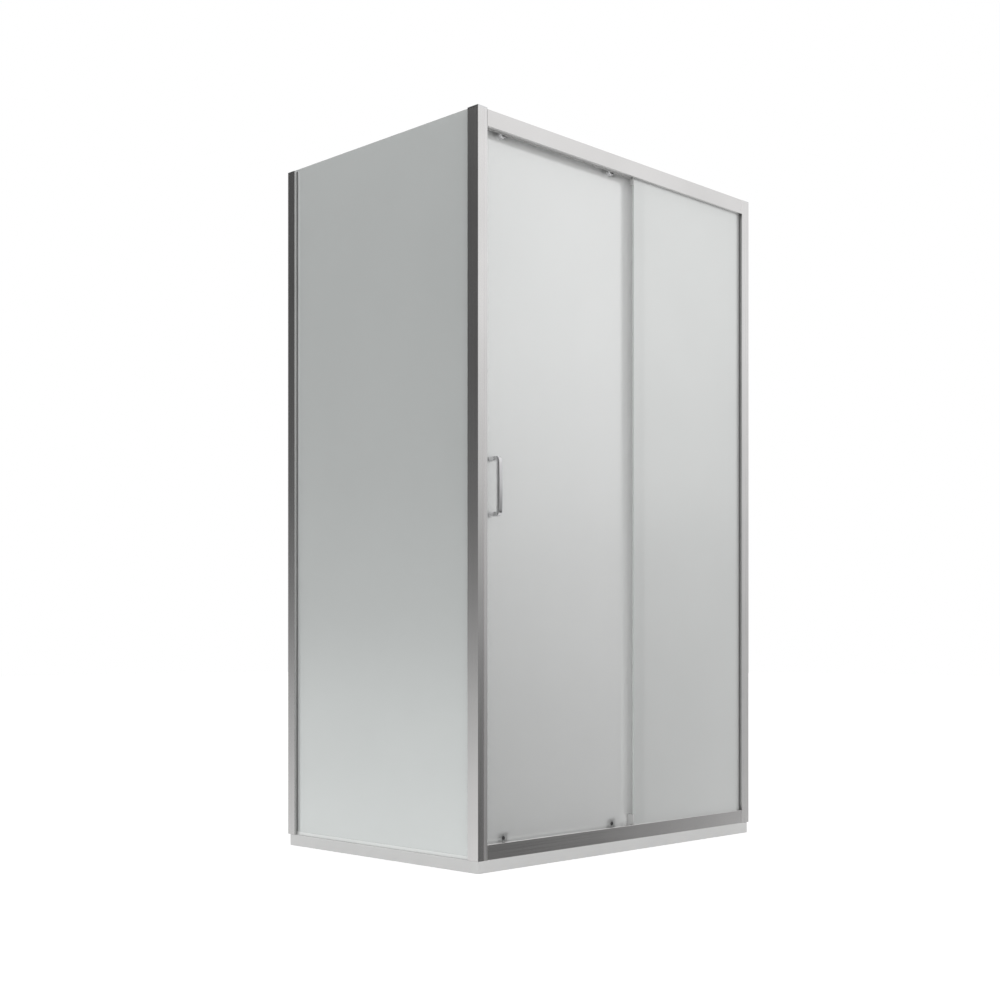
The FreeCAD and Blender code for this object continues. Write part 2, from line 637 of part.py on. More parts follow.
def bead(y, floor):
    """The raised rail with a round top that the wheels run on."""
    radius = TRACK_BEAD_WIDTH / 2
    height = track_bead_height - radius
    return [
        block(rail_span, about(y, radius), (floor, floor + height)),
        rod(radius, rail_span, y, floor + height),
    ]


def rail_parts():
    """Head rail and sill, their end screws, and the strips that close their pockets at the doorway."""
    track = (track_y - TRACK_BEAD_WIDTH / 2 - TRACK_LIP, FRAME_DEPTH)
    head_section = [
        ((0, wall), (head_bottom, frame_top)),
        ((0, FRAME_DEPTH), (head_ceiling, frame_top)),
        ((FRAME_DEPTH - wall, FRAME_DEPTH), (head_bottom, frame_top)),
        ((pocket[1], pocket[1] + wall), (head_bottom, frame_top)),
        (track, (track_top - wall, track_top)),
    ] + pocket_section(head_bottom, 1, RAIL_POCKET_DEPTH, 0)
    sill_pocket = pocket_section(sill_top, -1, RAIL_POCKET_DEPTH, 0)
    sill_pocket[1] = (sill_pocket[1][0], (frame_bottom, sill_top - SILL_POCKET_REAR_DROP))
    sill_section = [
        ((0, wall), (frame_bottom, sill_top)),
        ((0, FRAME_DEPTH), (frame_bottom, sill_floor)),
        ((FRAME_DEPTH - wall, FRAME_DEPTH), (frame_bottom, frame_bottom + SILL_REAR_HEIGHT)),
    ] + sill_pocket

    def ports(z):
        return [rod(SCREW_PORT_RADIUS, rail_span, y, z) for y in port_ys]

    def front_edge(e):
        return runs_along(e, "x", rail_end - rail_start) and e.BoundBox.YMax < TOLERANCE

    screw_runs = [
        (rail_start - wall, rail_start + RAIL_SCREW_LENGTH),
        (rail_end + wall, rail_end - RAIL_SCREW_LENGTH),
    ]
    bores = [rod(RAIL_SCREW_RADIUS, rail_span, y, z) for y in port_ys for z in port_zs]
    head_blocks = [block(rail_span, y, z) for y, z in head_section]
    sill_blocks = [block(rail_span, y, z) for y, z in sill_section]
    head = joined(head_blocks + bead(track_y, track_top) + ports(port_zs[1]))
    sill = joined(sill_blocks + bead(track_y, sill_floor) + ports(port_zs[0]))
    places = [(y, z) for y in port_ys for z in port_zs]
    screws = [screw(RAIL_SCREW_RADIUS, seat, tip, y, z) for seat, tip in screw_runs for y, z in places]
    infill_end = clip_left - CLIP_CLEARANCE
    infill_x = (rail_start, infill_end)
    head_infill_z = (head_bottom + INFILL_DROP, head_bottom + INFILL_DROP + INFILL_HEIGHT)
    sill_infill_z = (sill_top - INFILL_DROP - INFILL_HEIGHT, sill_top - INFILL_DROP)
    stops_x = [
        top_wheel_xs[0] - TOP_TREAD_RADIUS - WHEEL_FLANGE_HEIGHT - CONTACT_GAP - STOP_LENGTH,
        top_wheel_xs[-1] + TOP_TREAD_RADIUS + WHEEL_FLANGE_HEIGHT + CONTACT_GAP + door_travel,
    ]
    stop_y = (track_y + TRACK_BEAD_WIDTH / 2 + CONTACT_GAP, FRAME_DEPTH - wall)
    stops = [block((x, x + STOP_LENGTH), stop_y, (track_top, track_top + STOP_HEIGHT)) for x in stops_x]
    return {
        "head_rail": rounded(cut(head, bores), edge_radius, front_edge),
        "sill_rail": rounded(cut(sill, bores), edge_radius, front_edge),
        "rail_screws": Part.makeCompound(screws),
        "head_infill": block(infill_x, pocket, head_infill_z),
        "sill_infill": block(infill_x, pocket, sill_infill_z),
        "door_stops": Part.makeCompound(stops),
    }


def fixed_pane_parts():
    """The fixed pane of the front, its gaskets, setting blocks and the clips at its free edge."""
    pocket_floor = sill_top - RAIL_POCKET_DEPTH
    glass_z = (pocket_floor + GLASS_EDGE_GAP, head_bottom + RAIL_POCKET_DEPTH - GLASS_EDGE_GAP)
    glass = glazing((fixed_left, fixed_right), pane, glass_z)
    clip_x = (clip_left, clip_left + CLIP_LENGTH)
    gasket_x = (clip_x[1] + CLIP_CLEARANCE, rail_end)
    gasket = [block(gasket_x, y, z) for y, z in gasket_section(head_bottom, 1) + gasket_section(sill_top, -1)]
    quarter = (fixed_right - fixed_left) / 4
    blocks = [
        block(about(x, SETTING_BLOCK_LENGTH / 2), pane, (pocket_floor, glass_z[0]))
        for x in (fixed_left + quarter, fixed_right - quarter)
    ]

    slot = (pane[0], pane[1] + CLIP_CLEARANCE)
    slot_x = (fixed_left - CLIP_CLEARANCE, clip_x[1])
    hook_y = (pocket[1] + wall, door_front - SILL_CLIP_DOOR_GAP)
    sill_z = (sill_top, sill_top + SILL_CLIP_HEIGHT)
    sill_clip = joined(
        [
            block(clip_x, (pane[0], hook_y[1]), sill_z),
            block(clip_x, hook_y, (sill_top - CLIP_HOOK, sill_top)),
        ]
    )
    sill_clip = cut(sill_clip, [block(slot_x, slot, sill_z)])
    head_z = (head_bottom - HEAD_CLIP_HEIGHT, head_bottom)
    head_back = pane[1] + HEAD_CLIP_REAR
    head_clip = joined(
        [
            block(clip_x, (pane[0], head_back), head_z),
            block(clip_x, (hook_y[0], head_back), (head_bottom, head_bottom + TRACK_RISE)),
        ]
    )
    head_clip = cut(head_clip, [block(slot_x, slot, head_z)])
    return {
        "fixed_glass": glass,
        "fixed_glass_gasket": Part.makeCompound(gasket),
        "setting_blocks": Part.makeCompound(blocks),
        "sill_clip": sill_clip,
        "head_clip": head_clip,
    }


def door_parts():
    """The door's pane with its holes, and the seals on its edges."""
    across = (door_front, door_back)
    holes = [rod(KNOB_HOLE_RADIUS, x, across, knob_z) for x in knob_xs]
    holes += [rod(BUTTON_HOLE_RADIUS, x, across, button_z) for x in button_xs]
    holes += [rod(HANDLE_HOLE_RADIUS, handle_x, across, z) for z in handle_screw_zs]
    glass = cut(glazing((door_left, door_right), across, (door_bottom, door_top)), holes)

    jacket = (door_front - DOOR_SEAL_WALL, door_back + DOOR_SEAL_WALL)
    glass_space = block((door_left, door_right), across, seal_span)
    edge = block((door_left - DOOR_SEAL_NOSE, door_left + DOOR_SEAL_LEG), jacket, seal_span)
    rear_edge = block((door_right - DOOR_SEAL_LEG, door_right + DOOR_SEAL_WALL), jacket, seal_span)
    fin_x = (door_right + DOOR_SEAL_WALL - FIN_THICKNESS, door_right + DOOR_SEAL_WALL)
    fin = block(fin_x, (pane[1] + FIN_PANE_GAP, jacket[0]), seal_span)
    wiper_y = (door_front + BOTTOM_SEAL_INSET, door_back - BOTTOM_SEAL_INSET)
    wiper = block((door_left, door_right), wiper_y, (door_bottom - BOTTOM_SEAL_HEIGHT, door_bottom))
    return {
        "door_glass": glass,
        "door_edge_seal": cut(edge, [glass_space]),
        "door_overlap_seal": cut(joined([rear_edge, fin]), [glass_space]),
        "door_bottom_seal": wiper,
    }


def wheel(x, z, tread):
    """A grooved wheel that runs on a bead, with its bore for the bearing."""
    half, groove = WHEEL_WIDTH / 2, TRACK_BEAD_WIDTH / 2 + WHEEL_GROOVE_CLEARANCE
    rim_radius = tread + WHEEL_FLANGE_HEIGHT
    bore = BEARING_RADIUS + BEARING_CLEARANCE
    mouth = groove + WHEEL_FLANGE_HEIGHT / 2
    outline = [
        (bore, -half),
        (rim_radius, -half),
        (rim_radius, -mouth),
        (tread, -groove),
        (tread, groove),
        (rim_radius, mouth),
        (rim_radius, half),
        (bore, half),
    ]
    return turned(outline, V(x, track_y, z), V(0, 1, 0))


def bearing(x, z):
    """The bearing between an axle and its wheel."""
    across = (wheel_span[0] + BEARING_RECESS, wheel_span[1] - BEARING_RECESS)
    return cut(rod(BEARING_RADIUS, x, across, z), [rod(AXLE_RADIUS, x, across, z)])


def carriage_parts():
    """The two twin-wheel carriages at the top of the door, with their knobs, bolts and wheels."""
    plate_y = (door_back, door_back + PLATE_THICKNESS)
    plate_z = (knob_z - PLATE_BOTTOM_MARGIN, top_axle_z + PLATE_TOP_MARGIN)
    bolt_hole = KNOB_BOLT_RADIUS
    plates, washers, knobs, nuts, axles = [], [], [], [], []
    collar_y = (door_front - KNOB_WASHER_THICKNESS, door_front)
    nut_y = (plate_y[1], plate_y[1] + KNOB_NUT_THICKNESS)
    for x in knob_xs:
        plate = block(about(x, WHEEL_SPREAD + PLATE_MARGIN), plate_y, plate_z)
        plate = rounded(plate, PLATE_TOP_MARGIN, lambda e: runs_along(e, "y", PLATE_THICKNESS))
        axle_xs = [x - WHEEL_SPREAD, x + WHEEL_SPREAD]
        pins = [rod(AXLE_RADIUS, a, plate_y, top_axle_z) for a in axle_xs]
        plates.append(cut(plate, [rod(bolt_hole, x, plate_y, knob_z)] + pins))

        collar = rod(KNOB_RADIUS + KNOB_WASHER_MARGIN, x, collar_y, knob_z)
        sleeve = rod(KNOB_HOLE_RADIUS, x, (door_front, door_back), knob_z)
        bolt_space = rod(KNOB_BOLT_RADIUS, x, (collar_y[0], door_back), knob_z)
        washers.append(cut(joined([collar, sleeve]), [bolt_space]))

        face = -KNOB_HEIGHT
        outline = [
            (0, face),
            (KNOB_TOP_RADIUS, face),
            (KNOB_RADIUS, face + KNOB_EDGE_RADIUS),
            (KNOB_RADIUS, 0),
            (0, 0),
        ]
        dome = turned(outline, V(x, collar_y[0], knob_z), V(0, 1, 0))
        bolt = rod(KNOB_BOLT_RADIUS, x, (collar_y[0], nut_y[0]), knob_z)
        stud = rod(KNOB_BOLT_RADIUS / 2, x, nut_y, knob_z)
        knobs.append(joined([dome, bolt, stud]))
        nut = rod(KNOB_NUT_RADIUS, x, nut_y, knob_z)
        nuts.append(cut(nut, [rod(KNOB_BOLT_RADIUS / 2, x, nut_y, knob_z)]))
        head_y = (wheel_span[1] + WHEEL_SIDE_GAP, wheel_span[1] + WHEEL_SIDE_GAP + AXLE_HEAD_THICKNESS)
        for a in axle_xs:
            shaft = rod(AXLE_RADIUS, a, (plate_y[0], head_y[1]), top_axle_z)
            axles.append(joined([shaft, rod(AXLE_HEAD_RADIUS, a, head_y, top_axle_z)]))

    nodes = {
        "carriage_plates": Part.makeCompound(plates),
        "knob_washers": Part.makeCompound(washers),
        "roller_knobs": Part.makeCompound(knobs),
        "knob_nuts": Part.makeCompound(nuts),
        "top_axles": Part.makeCompound(axles),
        "top_bearings": Part.makeCompound([bearing(x, top_axle_z) for x in top_wheel_xs]),
    }
    for number, x in enumerate(top_wheel_xs, 1):
        nodes[f"top_wheel_{number}"] = wheel(x, top_axle_z, TOP_TREAD_RADIUS)
    return nodes


def bottom_roller_parts():
    """The two sprung rollers at the bottom of the door, with the buttons that release them."""
    front = door_back
    lip = front + HOUSING_LIP
    back = wheel_span[1] + WHEEL_SIDE_GAP + HOUSING_REAR_WALL
    cavity_back = back - HOUSING_REAR_WALL
    flange = BOTTOM_TREAD_RADIUS + WHEEL_FLANGE_HEIGHT
    bottom = bottom_axle_z - HOUSING_SKIRT
    top = button_z + HOUSING_TOP_MARGIN
    collar_radius = BUTTON_RADIUS + BUTTON_COLLAR
    collar_y = (lip + CONTACT_GAP, lip + CONTACT_GAP + BUTTON_COLLAR_THICKNESS)
    seat = collar_y[1] + BUTTON_TRAVEL + CONTACT_GAP
    housings, axles, springs, nodes = [], [], [], {}
    for x, side in zip(button_xs, ("left", "right")):
        body = block(about(x, HOUSING_HALF_LENGTH), (front, back), (bottom, top))
        body = rounded(body, HOUSING_CORNER_RADIUS, lambda e: runs_along(e, "y", back - front))
        slot_y = (wheel_span[0] - WHEEL_SIDE_GAP, cavity_back)
        wheel_space = [
            block(about(x, flange + WHEEL_RIM_GAP), slot_y, (bottom, bottom_axle_z)),
            rod(flange + WHEEL_RIM_GAP, x, slot_y, bottom_axle_z),
        ]
        bore = rod(BUTTON_RADIUS + BUTTON_CLEARANCE, x, (front, lip), button_z)
        chamber = rod(collar_radius + BUTTON_CLEARANCE, x, (lip, cavity_back), button_z)
        axle_y = (front, back)
        axle = rod(AXLE_RADIUS, x, axle_y, bottom_axle_z)
        housings.append(cut(body, wheel_space + [bore, chamber, axle]))
        axles.append(axle)

        head = rod(BUTTON_RADIUS, x, (door_front - BUTTON_PROUD, collar_y[1]), button_z)
        collar = rod(collar_radius, x, collar_y, button_z)
        stem_end = cavity_back - BUTTON_TRAVEL - CONTACT_GAP
        stem = rod(BUTTON_STEM_RADIUS, x, (collar_y[1], stem_end), button_z)
        nodes[f"release_button_{side}"] = joined([head, collar, stem])
        nodes[f"bottom_wheel_{side}"] = wheel(x, bottom_axle_z, BOTTOM_TREAD_RADIUS)
        springs.append(spring(x, seat, cavity_back))

    nodes["bottom_housings"] = Part.makeCompound(housings)
    nodes["bottom_axles"] = Part.makeCompound(axles)
    nodes["bottom_bearings"] = Part.makeCompound([bearing(x, bottom_axle_z) for x in button_xs])
    nodes["button_springs"] = Part.makeCompound(springs)
    return nodes


def spring(x, low, high):
    """A return spring at its pressed length, between low and high along Y, with flat ground ends."""
    coil_radius = BUTTON_RADIUS - SPRING_WIRE
    wire = SPRING_WIRE / 2
    height = high - low
    coil = Part.makeHelix(SPRING_PITCH, height, coil_radius)
    section = Part.Wire(Part.makeCircle(wire, V(coil_radius, 0, 0), V(0, 1, 0)))
    body = Part.Wire(coil.Edges).makePipeShell([section], True, True)
    body.rotate(V(0, 0, 0), V(1, 0, 0), -90)
    body.translate(V(x, low, button_z))
    reach = about(0, BUTTON_RADIUS)
    room = block((x + reach[0], x + reach[1]), (low, high), (button_z + reach[0], button_z + reach[1]))
    return body.common(room)


def handle_parts():
    """The bow handles on both faces of the door, with their washers and through screws."""
    z = about(handle_z, HANDLE_LENGTH / 2)
    x = about(handle_x, HANDLE_BAR / 2)

    def bow(base, outward):
        def off_glass(edge):
            return not lies_at(edge.BoundBox.YMin, edge.BoundBox.YMax, base)

        tip = base + outward * HANDLE_REACH
        inner = tip - outward * HANDLE_BAR
        solid = block(x, span(base, tip), z)
        gap = block(x, span(base, inner), (z[0] + HANDLE_BAR, z[1] - HANDLE_BAR))
        solid = cut(solid, [gap])
        solid = rounded(solid, HANDLE_EDGE_RADIUS, off_glass)
        deep = span(base, base + outward * HANDLE_SCREW_DEPTH)
        return cut(solid, [rod(HANDLE_SCREW_RADIUS, handle_x, deep, s) for s in handle_screw_zs])

    outer_base = door_front - HANDLE_WASHER_THICKNESS
    inner_base = door_back + HANDLE_WASHER_THICKNESS
    screw_y = (outer_base - HANDLE_SCREW_DEPTH, inner_base + HANDLE_SCREW_DEPTH)
    screws = [rod(HANDLE_SCREW_RADIUS, handle_x, screw_y, s) for s in handle_screw_zs]
    washers = [
        cut(rod(HANDLE_WASHER_RADIUS, handle_x, y, s), [rod(HANDLE_SCREW_RADIUS, handle_x, y, s)])
        for y in ((outer_base, door_front), (door_back, inner_base))
        for s in handle_screw_zs
    ]
    return {
        "handle_outer": bow(outer_base, -1),
        "handle_inner": bow(inner_base, 1),
        "handle_washers": Part.makeCompound(washers),
        "handle_screws": Part.makeCompound(screws),
    }


def all_parts():
    """Every node by name, drawn from the outer front left corner at floor level."""
    nodes = {}
    for make in (
        tray_parts,
        corner_parts,
        side_panel_parts,
        right_wall_parts,
        rail_parts,
        fixed_pane_parts,
        door_parts,
        carriage_parts,
        bottom_roller_parts,
        handle_parts,
    ):
        nodes.update(make())
    return nodes


def origin_shift(nodes):
    """The move that brings the point under the middle of the whole to the origin."""
    box = Part.makeCompound(list(nodes.values())).optimalBoundingBox(False, False)
    return V(-(box.XMin + box.XMax) / 2, -(box.YMin + box.YMax) / 2, -box.ZMin)


def main():
    """Writes each node as one STEP file in parts/."""
    nodes = all_parts()
    shift = origin_shift(nodes)
    os.makedirs("parts", exist_ok=True)
    for name, shape in nodes.items():
        shape.translate(shift)
        shape.exportStep(f"parts/{name}.step")
    print(f"{len(nodes)} nodes, shifted by {shift}")


main()
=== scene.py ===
"""Dressed scene of a corner shower enclosure with a sliding door.

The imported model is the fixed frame. This script finishes its nodes, puts finer turned and moulded shapes
in place of some of them, and sets up a plain studio with the camera at the photograph's angle.
Lengths are in metres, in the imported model's own axes: X runs right along the front, Y runs inward, Z up.
The sizes of the sub-assemblies and their outlines are in millimetres, and MM turns them into metres.
An outline's points are (radius, depth from the visible end). Its bare numbers are small steps for soft
edges, and "soft" is how far its corners are rounded.
"""

import json
import logging
import math
from dataclasses import dataclass
from enum import Enum

import bpy
import numpy as np
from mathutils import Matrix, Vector


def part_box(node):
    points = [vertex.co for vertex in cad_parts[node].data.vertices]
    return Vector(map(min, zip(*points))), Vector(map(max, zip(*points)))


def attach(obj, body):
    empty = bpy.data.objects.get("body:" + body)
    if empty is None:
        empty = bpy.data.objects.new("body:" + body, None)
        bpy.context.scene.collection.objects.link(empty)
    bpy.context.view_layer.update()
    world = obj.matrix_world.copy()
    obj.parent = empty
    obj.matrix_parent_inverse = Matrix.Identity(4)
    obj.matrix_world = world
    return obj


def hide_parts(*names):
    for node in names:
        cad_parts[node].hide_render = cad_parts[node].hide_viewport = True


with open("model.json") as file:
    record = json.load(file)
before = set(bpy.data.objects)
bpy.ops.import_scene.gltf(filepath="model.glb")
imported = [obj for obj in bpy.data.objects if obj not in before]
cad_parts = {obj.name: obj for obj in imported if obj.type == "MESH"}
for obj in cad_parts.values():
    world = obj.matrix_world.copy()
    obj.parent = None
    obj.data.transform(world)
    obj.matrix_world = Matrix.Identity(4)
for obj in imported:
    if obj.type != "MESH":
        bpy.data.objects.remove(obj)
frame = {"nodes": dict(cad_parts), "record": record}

LOG = logging.getLogger("enclosure")
MM = 0.001
TIP = 0.3  # radius in millimetres of the small flat face that closes a turned piece on its axis
RING = 72  # points round a turned piece without flutes
FLUTE_STEPS = 8  # points across one flute
ROUND_STEPS = 6  # points in the curve of a rounded corner
ROUND_LIMIT = 0.45  # the most of a side that one rounded corner takes
SMOOTH = math.radians(35.0)  # an edge that turns more than this isn't smoothed
INWARD = (0.0, 1.0, 0.0)  # from the front into the cabin

Socket = bpy.types.NodeSocket
Triple = tuple[float, float, float]
Range = tuple[float, float]


class Slot(Enum):
    """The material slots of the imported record."""

    GLASS = "safety_glass"
    ALUMINIUM = "polished_aluminium"
    CHROME = "chrome"
    STEEL = "steel"
    ACRYLIC = "white_acrylic"
    PLASTIC = "grey_plastic"
    RUBBER = "grey_seal"
    CLEAR = "clear_seal"
    DARK = "dark_plastic"


class Axis(Enum):
    """The direction in which a drawn surface runs, as the scale of its pattern along X, Y and Z."""

    X = (2.0, 420.0, 420.0)
    Z = (420.0, 420.0, 2.0)
    NONE = (150.0, 150.0, 150.0)


# ---------------------------------------------------------------------------------------------------
# Materials
# ---------------------------------------------------------------------------------------------------


class Nodes:
    """A small helper that writes the node tree of a material or of the world."""

    def __init__(
        self, owner: bpy.types.Material | bpy.types.World, output: str = "ShaderNodeOutputMaterial"
    ) -> None:
        """Empties the owner's node tree and adds its output.

        Args:
            owner: the material or the world.
            output: the output node's type.
        """
        owner.use_nodes = True
        self.owner = owner
        self.tree = owner.node_tree
        self.tree.nodes.clear()
        self.output = self.add(output)

    def add(self, kind: str, **values: object) -> bpy.types.Node:
        """Adds one node.

        Args:
            kind: the node's type, such as ShaderNodeTexNoise.
            values: attributes of the node, such as its operation.

        Returns:
            The new node.
        """
        node = self.tree.nodes.new(kind)
        for key, value in values.items():
            setattr(node, key, value)
        return node

    def set(self, node: bpy.types.Node, name: str | int, value: object) -> None:
        """Sets an input from a number, a colour or another node's socket.

        Args:
            node: the node that has the input.
            name: the input's name or index.
            value: a number, a tuple or an output socket.
        """
        socket = node.inputs[name]
        if isinstance(value, Socket):
            self.tree.links.new(value, socket)
        else:
            socket.default_value = value

    def close(self, surface: Socket) -> bpy.types.Material | bpy.types.World:
        """Links the finished surface to the output.

        Args:
            surface: the shader's socket.

        Returns:
            The tree's owner.
        """
        self.set(self.output, "Surface", surface)
        return self.owner

    def place(self, scale: Triple = (1.0, 1.0, 1.0)) -> Socket:
        """Object coordinates times a scale.

        Args:
            scale: the factor along each axis.

        Returns:
            The vector's socket.
        """
        mapping = self.add("ShaderNodeMapping")
        self.set(mapping, "Scale", scale)
        self.set(mapping, "Vector", self.add("ShaderNodeTexCoord").outputs["Object"])
        return mapping.outputs["Vector"]

    def noise(self, vector: Socket, scale: float, detail: float = 2.0) -> Socket:
        """Smooth noise from 0 to 1.

        Args:
            vector: where it is read.
            scale: its frequency, per metre.
            detail: how many finer layers it has.

        Returns:
            The value's socket.
        """
        node = self.add("ShaderNodeTexNoise")
        self.set(node, "Vector", vector)
        self.set(node, "Scale", scale)
        self.set(node, "Detail", detail)
        return node.outputs["Fac"]

    def span(self, value: Socket, low: float, high: float, source: Range = (0.3, 0.7)) -> Socket:
        """Maps a value from the source range to low .. high, clamped.

        Args:
            value: the socket to map.
            low: the result at the source's start.
            high: the result at the source's end.
            source: the range that is spread out.

        Returns:
            The mapped value's socket.
        """
        node = self.add("ShaderNodeMapRange")
        self.set(node, "Value", value)
        self.set(node, "From Min", source[0])
        self.set(node, "From Max", source[1])
        self.set(node, "To Min", low)
        self.set(node, "To Max", high)
        return node.outputs["Result"]

    def math(self, operation: str, *values: float | Socket) -> Socket:
        """One sum on numbers.

        Args:
            operation: what is done, such as MULTIPLY.
            values: the numbers or sockets that it takes, in order.

        Returns:
            The result's socket.
        """
        node = self.add("ShaderNodeMath", operation=operation)
        for index, value in enumerate(values):
            self.set(node, index, value)
        return node.outputs["Value"]

    def dot(self, vector: Socket, axis: Triple) -> Socket:
        """How far a vector reaches along an axis.

        Args:
            vector: the vector's socket.
            axis: the axis' direction, of length 1.

        Returns:
            The value's socket.
        """
        node = self.add("ShaderNodeVectorMath", operation="DOT_PRODUCT")
        self.set(node, 0, vector)
        self.set(node, 1, axis)
        return node.outputs["Value"]

    def tint(self, value: Socket, low: Triple, high: Triple) -> Socket:
        """A colour between two, by a value from 0 to 1.

        Args:
            value: the share of the second colour.
            low: the colour at 0.
            high: the colour at 1.

        Returns:
            The colour's socket.
        """
        node = self.add("ShaderNodeValToRGB")
        node.color_ramp.elements[0].color = (*low, 1.0)
        node.color_ramp.elements[1].color = (*high, 1.0)
        self.set(node, "Fac", value)
        return node.outputs["Color"]

    def blend(self, share: Socket, first: object, second: object) -> Socket:
        """A colour between two that may be sockets themselves.

        Args:
            share: the share of the second colour.
            first: the colour or socket at 0.
            second: the colour or socket at 1.

        Returns:
            The colour's socket.
        """
        node = self.add("ShaderNodeMix", data_type="RGBA")
        self.set(node, "Factor", share)
        self.set(node, "A", first)
        self.set(node, "B", second)
        return node.outputs["Result"]

    def scaled(self, colour: Socket, factor: Socket) -> Socket:
        """A colour times a factor.

        Args:
            colour: the colour's socket.
            factor: the factor's socket.

        Returns:
            The product's socket.
        """
        node = self.add("ShaderNodeVectorMath", operation="SCALE")
        self.set(node, 0, colour)
        self.set(node, "Scale", factor)
        return node.outputs["Vector"]

    def painted_shade_and_light(self, reach: float, deepest: float, source: Range = (0.5, 0.95)) -> Socket:
        """Painted shade and light: a factor on a colour that goes to its deepest value where another
        surface is close, where shade falls.

        Args:
            reach: how far away another surface still counts, in metres.
            deepest: the factor in the deepest corner, below 1 to paint shade there and above 1 to paint
                light.
            source: the open shares of the half-space where the factor is deepest and where it is 1.

        Returns:
            The factor's socket.
        """
        node = self.add("ShaderNodeAmbientOcclusion", samples=8)
        self.set(node, "Distance", reach)
        return self.span(node.outputs["AO"], deepest, 1.0, source)

    def bump(self, height: Socket, depth: float) -> Socket:
        """A bumped normal.

        Args:
            height: the height from 0 to 1.
            depth: the height's size in metres.

        Returns:
            The normal's socket.
        """
        node = self.add("ShaderNodeBump")
        self.set(node, "Strength", 1.0)
        self.set(node, "Distance", depth)
        self.set(node, "Height", height)
        return node.outputs["Normal"]


@dataclass(frozen=True)
class Finish:
    """One finish: a colour and a roughness that drift a little, and a fine relief. Lengths in metres.

    The painted shade and light is a factor on the colour in deep corners, where shade falls: below 1 it
    paints them darker, above 1 lighter.
    """

    name: str
    colour: Triple
    drift: float = 0.03
    patch: float = 5.0
    metallic: float = 0.0
    roughness: float = 0.4
    roughness_drift: float = 0.04
    grain: Axis = Axis.NONE
    relief: float = 0.00001
    painted_shade_and_light: float = 1.0
    painted_shade_and_light_reach: float = 0.02

    def make(self) -> bpy.types.Material:
        """Builds the material.

        Returns:
            The finished material.
        """
        nodes = Nodes(bpy.data.materials.new(self.name))
        shader = nodes.add("ShaderNodeBsdfPrincipled")
        broad = nodes.noise(nodes.place(), self.patch, 3.0)
        fine = nodes.noise(nodes.place(self.grain.value), 1.0)
        low, high = (tuple(c * (1.0 + s * self.drift) for c in self.colour) for s in (-1.0, 1.0))
        colour = nodes.tint(nodes.span(broad, 0.0, 1.0), low, high)
        # Painted shade in deep corners, and painted light where the factor is above 1.
        if self.painted_shade_and_light != 1.0:
            colour = nodes.scaled(colour, nodes.painted_shade_and_light(self.painted_shade_and_light_reach, self.painted_shade_and_light))
        nodes.set(shader, "Base Color", colour)
        nodes.set(shader, "Metallic", self.metallic)
        smooth, rough = self.roughness - self.roughness_drift, self.roughness + self.roughness_drift
        nodes.set(shader, "Roughness", nodes.span(fine, smooth, rough))
        nodes.set(shader, "Normal", nodes.bump(fine, self.relief))
        return nodes.close(shader.outputs["BSDF"])


@dataclass(frozen=True)
class Glazing:
    """Grey satin safety glass with a soft mirror and a greener cut edge. Lengths in metres.

    The glass lets the light that falls on one face through to the other, as far as the depth. The lift is
    painted light: a factor on its colour where another surface is close, which lightens the bands where
    shade falls.
    """

    name: str
    face: Triple = (0.716, 0.728, 0.722)
    edge: Triple = (0.72, 0.76, 0.74)
    across: int = 1
    facing: Range = (0.5, 0.9)
    cloud: float = 0.015
    cloud_scale: float = 3.0
    mirror: float = 0.405
    through: float = 1.0
    depth: float = 0.05
    lift: float = 1.3
    painted_light_reach: float = 0.08
    painted_light_source: Range = (0.2, 0.9)
    roughness: float = 0.16
    roughness_drift: float = 0.02
    roughness_scale: float = 60.0
    waviness: float = 0.00002
    wave_scale: float = 4.0

    def make(self) -> bpy.types.Material:
        """Builds the material.

        With n the size of the normal along the axis that runs across the pane, the colour is the edge's
        where n is below the facing range, the face's above it, and between them inside it.

        Returns:
            The finished material.
        """
        nodes = Nodes(bpy.data.materials.new(self.name))
        shader = nodes.add("ShaderNodeBsdfPrincipled")
        split = nodes.add("ShaderNodeSeparateXYZ")
        nodes.set(split, "Vector", nodes.add("ShaderNodeNewGeometry").outputs["Normal"])
        size = nodes.math("ABSOLUTE", split.outputs[self.across])
        colour = nodes.tint(nodes.span(size, 0.0, 1.0, self.facing), self.edge, self.face)
        broad = nodes.noise(nodes.place(), self.cloud_scale)
        colour = nodes.scaled(colour, nodes.span(broad, 1.0 - self.cloud, 1.0 + self.cloud))
        # Painted light: the colour is lightened where another surface is close, in the bands where shade
        # falls.
        lift = nodes.painted_shade_and_light(self.painted_light_reach, self.lift, self.painted_light_source)
        nodes.set(shader, "Base Color", nodes.scaled(colour, lift))
        nodes.set(shader, "Metallic", self.mirror)
        nodes.set(shader, "Subsurface Weight", self.through)
        nodes.set(shader, "Subsurface Radius", (1.0, 1.0, 1.0))
        nodes.set(shader, "Subsurface Scale", self.depth)
        fine = nodes.noise(nodes.place(), self.roughness_scale)
        smooth, rough = self.roughness - self.roughness_drift, self.roughness + self.roughness_drift
        nodes.set(shader, "Roughness", nodes.span(fine, smooth, rough))
        wave = nodes.noise(nodes.place(), self.wave_scale, 1.0)
        nodes.set(shader, "Normal", nodes.bump(wave, self.waviness))
        return nodes.close(shader.outputs["BSDF"])


